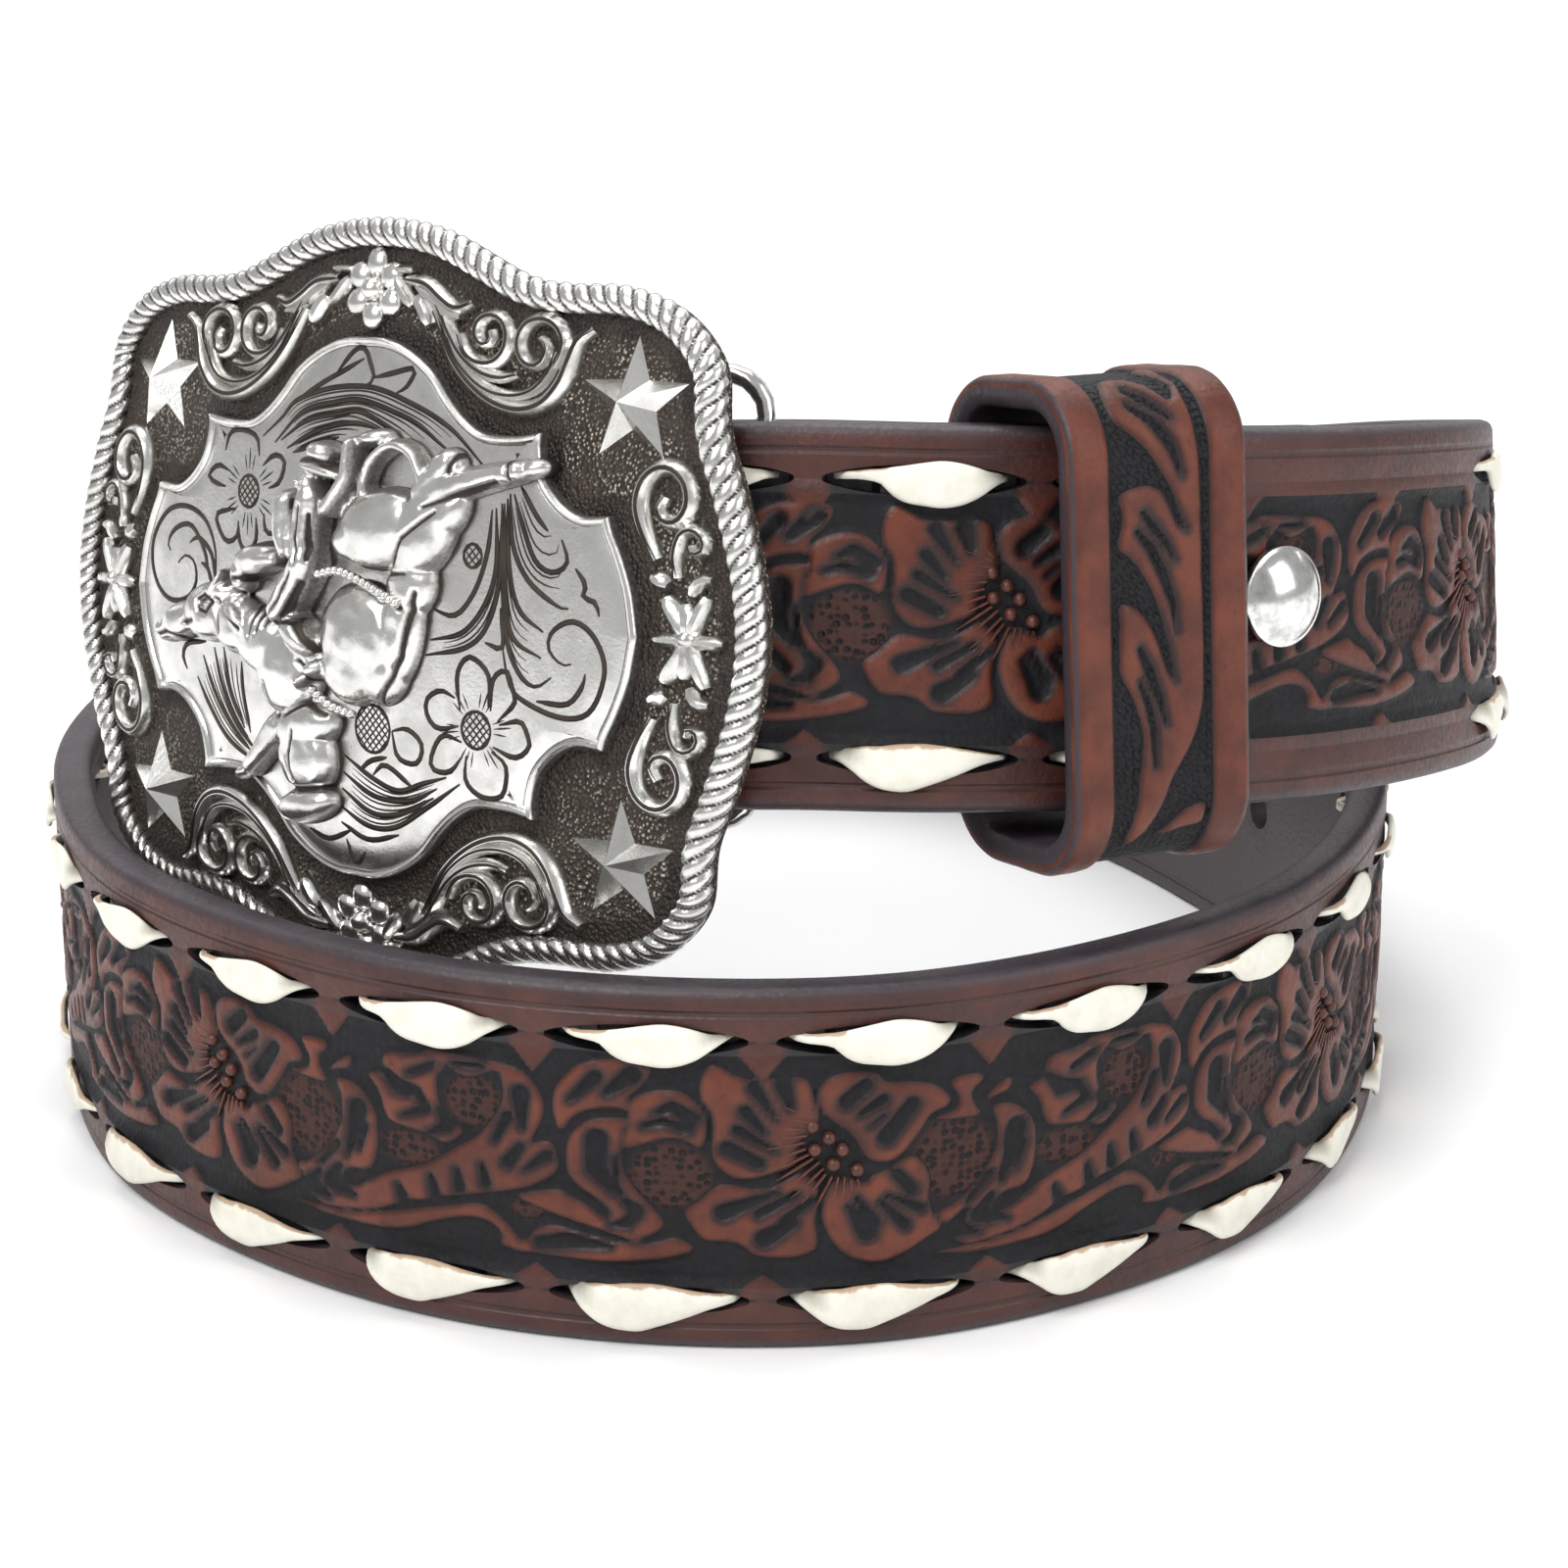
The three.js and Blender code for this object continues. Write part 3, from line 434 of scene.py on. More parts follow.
def strap_finish(looks):
    """The strap's border, edges and back, by place across the strap and through it."""
    material, tree, shader = new_finish("strap_leather")
    place = add(tree, "TexCoord").outputs["Object"]
    lay = add(tree, "Attribute", {"attribute_name": "lay"}).outputs["Vector"]
    parts = add(tree, "SeparateXYZ", Vector=lay)
    across = sum_of(tree, "ABSOLUTE", parts.outputs[1])
    grain = noise(tree, place, 1500)
    cloud = noise(tree, place, 140, 3)
    brown = mixed(tree, ranged(tree, cloud, .3, .7), linear(looks.border_dark), linear(looks.border_light))
    brown = mixed(tree, ranged(tree, grain, .55, .7, 0, .35), brown, linear((48, 24, 20)))
    line = sum_of(tree, "MULTIPLY", ranged(tree, across, .0159, .0163), ranged(tree, across, .0169, .0165))
    brown = mixed(tree, sum_of(tree, "MULTIPLY", line, .5), brown, linear((50, 28, 26)))
    fade = ranged(tree, across, .0174, .0186)
    brown = mixed(tree, sum_of(tree, "MULTIPLY", fade, .75), brown, linear(looks.edge))
    burnished = mixed(tree, ranged(tree, cloud, .3, .7), linear((44, 37, 42)), linear(looks.edge))
    color = mixed(tree, ranged(tree, parts.outputs[2], .0017, .0021), burnished, brown)
    # Painted shadow in and round each lace slot.
    slot = add(tree, "Attribute", {"attribute_name": "slot"}).outputs["Fac"]
    color = mixed(tree, ranged(tree, slot, .1, .8), color, linear((17, 15, 19)))
    flesh = mixed(tree, ranged(tree, grain, .3, .7), linear((48, 40, 42)), linear((66, 56, 56)))
    color = mixed(tree, ranged(tree, parts.outputs[2], -.0020, -.0021), color, flesh)
    tree.links.new(color, shader.inputs["Base Color"])
    tree.links.new(ranged(tree, grain, .3, .7, .38, .54), shader.inputs["Roughness"])
    height = sum_of(tree, "ADD", sum_of(tree, "MULTIPLY", line, -2), grain)
    bumped(tree, shader, height, .0001)
    return material


def lace_finish(looks):
    """Ivory lace with tan raw edges, fine creases and painted shade where it turns down into the slots."""
    material, tree, shader = new_finish("ivory_lace")
    place = add(tree, "TexCoord").outputs["Object"]
    edge = add(tree, "Attribute", {"attribute_name": "edge"}).outputs["Fac"]
    cloud = noise(tree, place, 420, 3)
    grain = noise(tree, place, 2600)
    ivory = mixed(tree, ranged(tree, cloud, .35, .7), linear(looks.lace), linear((219, 216, 202)))
    worn = sum_of(tree, "ADD", edge, ranged(tree, cloud, .3, .7, -.1, .1))
    color = mixed(tree, ranged(tree, worn, .8, .93, 0, .8), ivory, linear((168, 132, 98)))
    # Painted shade where the lace folds down into its slot.
    fold = add(tree, "Attribute", {"attribute_name": "fold"}).outputs["Fac"]
    color = mixed(tree, fold, color, linear((112, 104, 90)))
    tree.links.new(color, shader.inputs["Base Color"])
    tree.links.new(ranged(tree, grain, .3, .7, .4, .55), shader.inputs["Roughness"])
    bumped(tree, shader, grain, .00004)
    shader.inputs["Subsurface Weight"].default_value = .08
    shader.inputs["Subsurface Radius"].default_value = (.001, .0008, .0006)
    return material


def silver_finish(looks, name="cast_silver", stippled=False):
    """Cast silver, bright on its crests, dark where the mark says so: patina, and on the figures' steep sides also
    painted shade.
    """
    material, tree, shader = new_finish(name)
    place = add(tree, "TexCoord").outputs["Object"]
    patina_and_shade = add(tree, "Attribute", {"attribute_name": "patina_and_shade"}).outputs["Fac"]
    cloud = noise(tree, place, 220, 4)
    grain = noise(tree, place, 2400, 3)
    bright = mixed(tree, ranged(tree, cloud, .35, .7), linear(looks.silver), linear((205, 204, 200)))
    dark = mixed(tree, ranged(tree, cloud, .3, .7), linear((40, 34, 30)), linear((62, 53, 46)))
    if stippled:
        pits = dots(tree, place, 2300)
        bright = mixed(tree, ranged(tree, cloud, .35, .7), linear((176, 168, 154)), linear((134, 125, 111)))
        crest = ranged(tree, sum_of(tree, "ADD", pits, ranged(tree, cloud, .3, .7, -.1, .1)), .05, .5, .24, .8)
        patina_and_shade = sum_of(tree, "MAXIMUM", crest, ranged(tree, patina_and_shade, .15, .8, 0, 1.05))
    tone = sum_of(tree, "ADD", patina_and_shade, ranged(tree, grain, .3, .7, -.06, .06))
    color = mixed(tree, ranged(tree, tone, .12, .85), bright, dark)
    tree.links.new(color, shader.inputs["Base Color"])
    tree.links.new(ranged(tree, tone, .2, .9, 1, .45), shader.inputs["Metallic"])
    rough = sum_of(tree, "ADD", ranged(tree, tone, .1, .9, .24, .5), ranged(tree, cloud, .3, .7, -.03, .05))
    tree.links.new(rough, shader.inputs["Roughness"])
    height = sum_of(tree, "MULTIPLY", pits, -3.0) if stippled else grain
    bumped(tree, shader, height, .0001 if stippled else .00002)
    return material


def steel_finish():
    """Polished steel with fine wear."""
    material, tree, shader = new_finish("polished_steel")
    place = add(tree, "TexCoord").outputs["Object"]
    wear = noise(tree, place, 700, 6)
    color = mixed(tree, ranged(tree, wear, .4, .75), linear((226, 226, 224)), linear((176, 175, 172)))
    tree.links.new(color, shader.inputs["Base Color"])
    tree.links.new(ranged(tree, wear, .35, .75, .12, .28), shader.inputs["Roughness"])
    shader.inputs["Metallic"].default_value = 1
    bumped(tree, shader, wear, .00002)
    return material


# ---------------------------------------------------------------- the tooling's charts
# x along the strap from the flower's middle, y across it, in mm. The pattern repeats.

PATTERN_PERIOD = 66.3
RAISED = [
    "-10.75,11.3 -9.5,10.8 -8.2,10 -6,9.8 -3.5,10 -1.8,9.7 -1.25,8.3 -1,7 -.6,5.6 -1.2,4 -2,2 -3,.7 -4.8,0 -6.8,-.6 "
    "-8.5,-.6 -9.7,.1 -10.5,1.2 -10.75,2.5 -10.6,4.5 -10.8,6.2 -11.7,7.5 -11.9,8.8 -11.5,10.5",
    "-13.4,-4.2 -12.2,-3.2 -11.2,-2.2 -10.3,-1.4 -9.3,-1.2 -6.8,-1.7 -4.8,-1.4 -3.5,-.6 -1.8,.2 -.9,-.8 -.6,-2.4 "
    "-.7,-3.3 -1,-5 -.8,-7 -1,-8.3 -2.8,-9 -5.2,-9 -6.8,-8.7 -8,-7.7 -9.5,-7.3 -11.5,-7.2 -12.7,-5.8",
    "-.2,-3.5 -.3,-5 .5,-7.2 1.8,-8.8 3.5,-9.75 5.7,-10 8.2,-9 9.8,-8 11.3,-7 10.5,-5.5 10,-3.8 10.1,-1.7 9.5,0 8.2,1 "
    "6.8,.3 5.7,-.3 4.5,-.7 3.8,-1.5 1.5,-.6 .3,-1.5",
    "-.7,8.2 -.2,9.3 .8,10 2.8,10.3 4.8,10 5.8,9 8.2,8.8 10.5,8.2 12,6.8 11.8,5.8 10.2,5.2 9.3,3.8 8.2,2.3 7,1 5.7,.6 "
    "4.2,1 3.2,2.3 2.2,3.8 .7,5.2 -.3,6.3",
    "-52.5,-9.3 -49.5,-9 -47.8,-8.7 -45.7,-8.2 -43.5,-7.3 -42,-6.4 -39.8,-6 -38.5,-5.4 -34.5,-4.4 -29.8,-3.2 "
    "-27.5,-2.2 -25.9,-.9 -25.7,.8 -26.5,2.3 -28.3,1.9 -27.9,3.1 -27.2,4.5 -27,5.9 -27.3,7.2 -28.2,8.6 -29.3,9.5 -31,10 "
    "-33.2,10.1 -36.5,10.3 -39.2,10.3 -38.5,9.7 -36.5,8.7 -34.8,8 -33,8.6 -31.8,9.1 -31.2,8.2 -31.1,6.5 -31.7,4.8 "
    "-33.2,2.7 -34.3,1.6 -36.5,.1 -39.5,-2 -43.5,-3.6 -46.1,-4.9 -47.5,-6 -49,-6.3 -50,-7.5 -52.3,-8.3",
    "-49.6,5.2 -48,5.1 -46.8,4.5 -45.7,3.4 -45.1,2 -45,0 -45.2,-2 -45.8,-3.6 -46.7,-4.2 -48.2,-4.3 -49.3,-5 -49.6,-6.2 "
    "-50.3,-7.4 -50.9,-8.6 -52.8,-9 -53.9,-8.2 -54.5,-7 -55.4,-5.4 -54,-4.9 -52,-3.3 -50.5,-1.5 -49.6,0 -49.2,1.5 "
    "-49.3,3.2 -49.7,4.4",
    "-44.2,7.6 -43.8,9 -41.8,9.5 -39.5,9.9 -37.6,9.2 -37.2,8.5 -38,7.7 -38,5.8 -37.3,3.8 -36.2,2.7 -35.3,2.2 -37.2,.6 "
    "-39,1.2 -41.2,1.5 -43.5,1.9 -44.2,3.2 -44.8,5 -45.9,6.4 -44.7,6.9",
    "-50.7,5.7 -49.7,6.9 -48.1,7.9 -47.8,7.3 -48.2,6.5 -49.6,6.1",
    "-54.2,8.5 -51.5,8.8 -50.8,8.1 -52,7 -51.7,5.6 -51.1,4.4 -53.5,4.3 -55.8,4.6 -53.6,5.4 -53.3,6.6",
    "-55.5,-9.6 -49.5,-9.3 -44.5,-8.2 -39.5,-6.7 -36.5,-5.9 -34.8,-5.4 -33.5,-5.3 -32.2,-6 -30.8,-7.2 -29.8,-8.5 "
    "-29.3,-8.7 -28.7,-8.1 -28,-7.2 -26.8,-6.7 -25.5,-6.6 -23.2,-7.1 -19.8,-7.8 -17.8,-8 -15.7,-7.4 -14.2,-7 -12.5,-8.2 "
    "-14.8,-9.2 -18.2,-9.8 -21.5,-10.1 -24.5,-10 -28.2,-9.8 -29.5,-9.9 -31.7,-9.4 -31.5,-8.5 -32.5,-7.3 -34.5,-6.9 "
    "-36.5,-7.3 -39.5,-8.4 -41.5,-9.3 -44.5,-10 -49.5,-10.2 -53.5,-10.1",
    "-29.8,-3.8 -28.5,-3.3 -26.5,-2.8 -25.5,-2.7 -24.2,-3.5 -22.7,-4.1 -21.5,-5.2 -20.2,-5.9 -18.5,-6.5 -17.5,-7.4 "
    "-18.2,-7.7 -20.8,-6.9 -24.5,-5.9 -27.2,-5.1 -29.3,-4.3",
    "-18.7,5.2 -20.5,5.3 -22.3,5 -23.8,4 -24.7,2.5 -24.9,.5 -24.7,-.9 -23.7,-2.2 -22.2,-3.2 -20.9,-4.6 -20.8,-5.9 "
    "-19.2,-5.6 -17.8,-7.3 -15.9,-6.4 -15.4,-5.5 -16.2,-4.2 -17.3,-3 -18.3,-1.8 -19.2,-.2 -19.5,1.8 -19.2,4",
    "-26,5 -26,7.5 -24.8,9.4 -23.5,10.6 -21.5,11.3 -19,11.6 -16.5,10.8 -17.2,9 -18.8,7.4 -18,6 -17.6,5 -18.3,4.6 "
    "-18.6,5.9 -19.8,6.3 -22.3,6 -24.2,5 -25.3,3.5",
    "-18.7,6.8 -17.7,7.8 -15.7,8.5 -13.5,8.3 -12.3,7.3 -11.5,6.2 -11.3,4.2 -11.8,2.5 -13.2,3.2 -14.8,3.5 -17.3,2.7 "
    "-19,2.2 -19.2,3.5 -18.7,4.7",
]
CUTS = [
    "-6.8,9,.6 -4.7,5.7,.15", "-7.6,6.5,.55 -5.8,4.3,.25", "-8.3,4.5,.5 -4.7,2.3,.15", "-9.3,2.6,.7 -6.3,1,.55",
    "-4,9.2,.8 -3.3,7,.35", "-9.7,-4.2,.8 -4.5,-2,.15", "-6.3,-4.3,.45 -2.8,-2.3,.3", "-4,-5.2,.4 -1.2,-2.9,.3",
    "-5.8,-7,.9 -2.9,-5.3,.4", "4,-6.7,.95 2.2,-3.8,.25", "4.8,-5.7,.5 3,-3,.25", "7.7,-6.3,.55 5.2,-3.5,.25",
    "9.2,-4.7,.45 5.8,-2.8,.15", "8.3,-2.5,.6 6.8,-.7,.5", "2,7.2,.75 3.8,8.8,.65", "5.5,7.2,.5 3.2,5.8,.2",
    "5.8,3.2,.85 8.3,6.5,.65", "5.7,5.7,.15 4.2,4.5,.12", "-36.2,9.25,.25 -33.2,9.4,.3", "-29.3,7,.9 -29.2,3.5,.3",
    "-30.7,4.5,.5 -32,1.8,.3", "-30.8,-.5,.6 -29.3,1.5,.35", "-26.7,.8,.5 -29,-1,.15", "-35.9,-3.9,.55 -36.2,-1.9,.25",
    "-33.1,-3,.5 -33.5,-1,.2", "-38.6,-5,.55 -39,-3.2,.25", "-42.3,-6,.55 -42.8,-4.8,.25",
    "-47.2,2.4,1.05 -47.7,0,.8 -48.8,-3,.2", "-46.3,.8,.3 -47.2,-1.9,.2", "-50,-2,.45 -52.3,-4.6,.25",
    "-52.4,-5.4,.2 -53.6,-7.3,.9 -51,-8.2,.15", "-49.8,-4.3,.3 -51,-6.3,.9 -47.9,-7.2,.15",
    "-45.6,-4.4,.3 -48.6,-5.3,.55", "-44,7.3,.3 -42.2,5.7,.85 -40.2,5.6,.5", "-40,5.3,.4 -39.2,4,.45 -42,2.8,.15",
    "-41,7.5,.3 -38.5,8.7,.35", "-37.8,4.1,.3 -37,2.5,.6 -39.2,1.4,.12", "-41.7,9.7,.25 -40,10,.25",
    "-27.5,-8.6,.7 -24.5,-8.1,.75 -20.5,-8.4,.15", "-21.8,2.9,1.1 -22,0,.95 -20.2,-2.6,.25",
    "-20.2,1.2,.25 -20,-2,.35 -19.3,-2.9,.2", "-19.2,-3.3,.3 -18,-4.4,.65 -18.9,-5.7,.45 -20.7,-6.1,.12",
    "-22.2,-3.7,.35 -20.9,-4.8,.3", "-21.8,9.5,.65 -24.3,7,.3", "-18.3,9.9,.9 -20.7,8,.4",
    "-16.2,6.1,.15 -14.5,6.8,.5 -12.6,5.6,.7", "-17.3,4.7,.25 -15.5,5.2,.35 -12.9,4.5,.45",
]
PATCHES = [(-14.7, -.6, 4, 3.4), (-53.8, .2, 4.3, 4.3), (-34.3, 5.5, 3, 2.8), (-41.5, -.7, 3.5, 1.8), (-28.8, -5.3, 1.8, 1)]
SEEDS = "-1.25,4.8 .3,3.5 -1,2.3 1.6,2.2 .75,.7 3,0"
SEED_LIFT = 1.95
SEED_RADIUS = .7
STAMENS = [
    "-1.2,6.3 -2.6,7.6", "-1.3,5.9 -3.9,6.9", "-1.5,5.3 -4.8,5.9", "-2.1,4.6 -5.4,4.8", "-1.8,3.9 -5.7,3.7", "-2,3.2 -5.6,2.5",
    "-1.9,2.5 -5.2,1.4", "-1.6,1.9 -4.9,.3", "-1.2,1.5 -4.6,-.8", "-.6,1.1 -4.1,-1.9", "-.2,.4 -3.3,-2.7", "0,-.2 -2.3,-3.3",
    ".6,-.5 -1,-3.8", "1.2,-.6 .5,-4.1", "1.8,-.6 1.5,-4", "2.4,-.9 2.5,-3.4", "3,-.9 3.5,-2.6",
]
TOOLING_START = -5
TOOLING_END = 712
PANEL_HALF = 12.25
FRONT_FLOWER = 569.5
UPPER_FLOWER = 560.4


def pattern_place(s):
    """Place in the repeating pattern, counted from a flower's middle."""
    slope = (430 - FRONT_FLOWER - 60 + UPPER_FLOWER) / 370
    return np.where(s >= 430, s - FRONT_FLOWER, np.where(s <= 60, s - UPPER_FLOWER, (s - 60) * slope + 60 - UPPER_FLOWER))


def flower_places():
    """Distances along the strap of the flowers' middles."""
    along = np.arange(TOOLING_START + 6, TOOLING_END - 6, .1)
    turns = np.floor(pattern_place(along) / PATTERN_PERIOD)
    return [float(along[i + 1]) for i in np.nonzero(np.diff(turns))[0]]


def pattern_table():
    """The repeating pattern's depths on a fine grid, with a look-up by place."""
    step = .2
    xs = np.arange(round(PATTERN_PERIOD / step) + 1) * PATTERN_PERIOD / round(PATTERN_PERIOD / step) - 56
    ys = np.arange(-13, 13.01, step)
    x, y = np.meshgrid(xs, ys, indexing="ij")
    outlines = [curve(points_of(text), 3, closed=True) for text in RAISED]
    strokes = [points_of(text) for text in CUTS]
    rise, cut = raised_and_cut(outlines, strokes, x, y, PATTERN_PERIOD)
    disc = 2.9 - np.hypot(x - .3, y - 1.8)
    rise = np.where(disc > 0, np.minimum(rise, -.1 - disc * .05), rise)
    # Towards its middle the flower sinks.
    rise = np.minimum(rise, .03 + np.maximum(0, -disc) * .3)
    pebble = np.zeros(x.shape)
    for px, py, hx, hy in PATCHES:
        for shift in (-PATTERN_PERIOD, 0, PATTERN_PERIOD):
            pebble = np.maximum(pebble, 1 - smooth_step(.8, 1.15, np.hypot((x + shift - px) / hx, (y - py) / hy)))

    def look_up(at, across):
        u = np.mod(at + 56, PATTERN_PERIOD) / (xs[1] - xs[0])
        v = np.clip((across + 13) / step, 0, len(ys) - 1.001)
        i = np.minimum(u.astype(int), len(xs) - 2)
        j = v.astype(int)
        u, v = u - i, v - j
        return [
            table[i, j] * (1 - u) * (1 - v) + table[i + 1, j] * u * (1 - v)
            + table[i, j + 1] * (1 - u) * v + table[i + 1, j + 1] * u * v
            for table in (rise, cut, pebble)
        ]

    return look_up


# ---------------------------------------------------------------- the strap


def strap_stations():
    """Distances of the body's rings, close at the slots' ends."""
    offsets = [-SLOT_OUTER, -9.3, -8.4, -7.2, -6, -5, -SLOT_INNER, -2.8, -1.4, 0, 1.4, 2.8, SLOT_INNER, 5, 6, 7.2, 8.4, 9.3,
               SLOT_OUTER, 11.05]
    stations = [i * LACE_PITCH + off for i in range(-4, 39) for off in offsets]
    stations = [d for d in stations if -TURNED_BACK + .5 < d < STRAP_LENGTH - TIP_ROUNDING - .5]
    tip = [STRAP_LENGTH - TIP_ROUNDING * (1 - math.sin(math.radians(a))) for a in range(0, 90, 6)]
    return [-TURNED_BACK, -TURNED_BACK + .3] + stations + tip + [STRAP_LENGTH - .02]


def strap_section(distance):
    """Points round the strap's section: across it and out of its middle."""
    stitch = round(distance / LACE_PITCH)
    off = abs(distance - stitch * LACE_PITCH)
    laced = is_laced(stitch) and off < SLOT_OUTER + .1
    slot = .1 + 1.35 * max(0, 1 - (off / SLOT_OUTER) ** 2) ** .75 if laced else .1
    low, high = max(13.6 - slot, PANEL_HALF + .12), 13.6 + slot
    sunk = 1.6 if TOOLING_START < distance < TOOLING_END else HALF_THICK
    pressed = HALF_THICK - (.3 if laced and off < SLOT_INNER + .1 else .05)
    behind = HALF_THICK
    if laced and SLOT_INNER + .1 < off < SLOT_OUTER - .1:
        pressed = behind = .2
    half = [
        (PANEL_HALF - .25, sunk), (PANEL_HALF - .02, HALF_THICK), (low - .09, HALF_THICK), (low, pressed), (high, pressed),
        (high + .16, HALF_THICK), (16.6, HALF_THICK), (17.9, 2.17), (18.45, 1.98), (18.8, 1.6), (19, 1), (19, 0), (19, -1),
        (18.8, -1.6), (18.45, -1.98), (17.9, -2.17), (high + .16, -HALF_THICK), (high, -behind), (low, -behind), (low - .09, -HALF_THICK), (6, -HALF_THICK),
    ]
    return half + [(-a, o) for a, o in reversed(half)]


def is_laced(stitch):
    return 0 <= stitch < LACE_STITCHES and stitch not in BARE_STITCHES


def painted_slot_shadow(stations):
    """1 on the section's points round each lens-shaped slot, where shadow in and beside the slot is painted dark."""
    marks = np.zeros((len(stations), 2 * SECTION_HALF))
    for i, distance in enumerate(stations):
        stitch = round(distance / LACE_PITCH)
        if is_laced(stitch) and abs(distance - stitch * LACE_PITCH) < SLOT_OUTER:
            marks[i, [3, 4, -4, -5, 17, 18, -18, -19]] = 1
            marks[i, [0, 1, 2, -1, -2, -3]] = 1 - smooth_step(7.5, 10.2, abs(distance - stitch * LACE_PITCH))
    return marks


def make_strap(looks):
    stations = strap_stations()
    point, _, n, u = axes_rows(stations)
    section = np.array([strap_section(d) for d in stations])
    width = np.ones(len(stations))
    for i, d in enumerate(stations):
        if d > STRAP_LENGTH - TIP_ROUNDING:
            share = 1 - (STRAP_LENGTH - d) / TIP_ROUNDING
            width[i] = math.sqrt(max(1 - share * share, .001))
        elif d < -TURNED_BACK + .2:
            width[i] = .985
    section[..., 0] *= width[:, None]
    rings = point[:, None] + u[:, None] * section[..., :1] + n[:, None] * section[..., 1:]
    lay = np.concatenate([np.broadcast_to(np.array(stations)[:, None, None], section.shape[:2] + (1,)), section], 2) * MM
    bm = bmesh.new()
    swept(bm, rings, marks={"lay": lay, "slot": painted_slot_shadow(stations)})
    body = piece(bm, "strap_body", strap_finish(looks), ("strap",))
    # Size holes near the tip, and the snap's hole through both layers.
    bm = bmesh.new()
    middle = STRAP_LENGTH - TIP_TO_MIDDLE_HOLE
    holes_at = [(middle + HOLE_GAP * k, 0, 0, HOLE_RADIUS, 8) for k in range(-2, 3)] + [(SNAP_AT, SNAP_UP, -3, 1.8, 13)]
    for at, across, out, radius, depth in holes_at:
        bmesh.ops.create_cone(
            bm, cap_ends=True, segments=24, radius1=radius, radius2=radius, depth=depth, matrix=strap_matrix(at, across, out))
    mesh = bpy.data.meshes.new("hole_punches")
    bm.to_mesh(mesh)
    bm.free()
    punches = bpy.data.objects.new("hole_punches", mesh)
    bpy.context.collection.objects.link(punches)
    holes = body.modifiers.new("holes", "BOOLEAN")
    holes.operation = "DIFFERENCE"
    holes.object = punches
    holes.solver = "EXACT"
    applied(body)
    bpy.data.objects.remove(punches)
    return body


def make_tooling(looks, sizes):
    gap = .5
    s = np.linspace(TOOLING_START, TOOLING_END, round((TOOLING_END - TOOLING_START) / gap) + 1)
    across = np.linspace(-PANEL_HALF, PANEL_HALF, 59)
    point, _, n, u = axes_rows(s)
    along, side = np.meshgrid(s, across, indexing="ij")
    rise, cut, pebble = pattern_table()(pattern_place(along), side)
    # The border reaches in between the stitches as pointed scallops.
    off = np.abs(np.mod(along / LACE_PITCH, 1) - .5) * LACE_PITCH
    apex = np.where(side > 0, 9.3, 10.8)
    slope = 2.6 / (12.6 - apex)
    scallop = ((np.abs(side) - apex) * slope - off) / np.sqrt(1 + slope ** 2)
    rise = np.maximum(rise, np.minimum(scallop, .28))
    ends = np.minimum(along - TOOLING_START, TOOLING_END - along) - 1.5
    rise = np.where(ends < 0, np.maximum(rise, -ends), rise)
    depth = sizes.tooling_depth / MM
    height = HALF_THICK + depth * (smooth_step(-.28, .32, rise) - 1) + .16 * smooth_step(.2, 1.9, rise)
    height = height + .1 * smooth_step(-1.9, -.1, cut) * smooth_step(0, .5, rise)
    height = np.maximum(height, HALF_THICK - depth * (1 - smooth_step(11.3, PANEL_HALF, np.abs(side))))
    size = len(across)
    rings = np.zeros((len(s), size + 2, 3))
    rings[:, 1:-1] = point[:, None] + u[:, None] * side[..., None] + n[:, None] * height[..., None]
    for j, a in ((0, -PANEL_HALF), (size + 1, PANEL_HALF)):
        rings[:, j] = point + u * a + n * 1.5
    pad = lambda grid: np.pad(grid, ((0, 0), (1, 1)), mode="edge")
    marks = {"rise": pad(rise), "cut": pad(cut), "pebble": pad(pebble)}
    marks["lay"] = np.stack([pad(along), pad(side), pad(height)], 2) * MM
    bm = bmesh.new()
    swept(bm, rings, marks=marks)
    return piece(bm, "strap_tooling", tooled_finish(looks), ("strap",), sharp=60)


def make_flower_centres(looks):
    """Round seeds and a fan of fine stamens in each tooled flower."""
    bm = bmesh.new()
    for middle in flower_places():
        for x, y in points_of(SEEDS):
            if not TOOLING_START + 2 < middle + x < TOOLING_END - 2:
                continue
            seat = strap_matrix(middle + x, y, SEED_LIFT)
            bmesh.ops.create_uvsphere(bm, u_segments=10, v_segments=7, radius=SEED_RADIUS, matrix=seat)
        for text in STAMENS:
            (ax, ay), (bx, by) = points_of(text)
            share = np.linspace(0, 1, 5)
            p, t, n, u = axes_rows(middle + ax + (bx - ax) * share)
            across = ay + (by - ay) * share
            length = math.hypot(bx - ax, by - ay)
            turn = np.linspace(0, 2 * math.pi, 6, endpoint=False)
            half = .17 * np.array([.9, 1, 1, .8, .4])
            side = (t * -(by - ay) + u * (bx - ax)) / length
            rings = (p + u * across[:, None] + n * 2.02)[:, None] + side[:, None] * (half[:, None] * np.cos(turn))[..., None]
            rings = rings + n[:, None] * (half[:, None] * 1.7 * np.sin(turn))[..., None]
            swept(bm, rings)
    material, tree, shader = new_finish("seed_leather")
    place = add(tree, "TexCoord").outputs["Object"]
    cloud = noise(tree, place, 900)
    color = mixed(tree, ranged(tree, cloud, .3, .7), linear((62, 32, 25)), linear((94, 47, 34)))
    tree.links.new(color, shader.inputs["Base Color"])
    tree.links.new(ranged(tree, cloud, .3, .7, .38, .52), shader.inputs["Roughness"])
    bumped(tree, shader, cloud, .00006)
    return piece(bm, "flower_seeds", material, ("strap",))


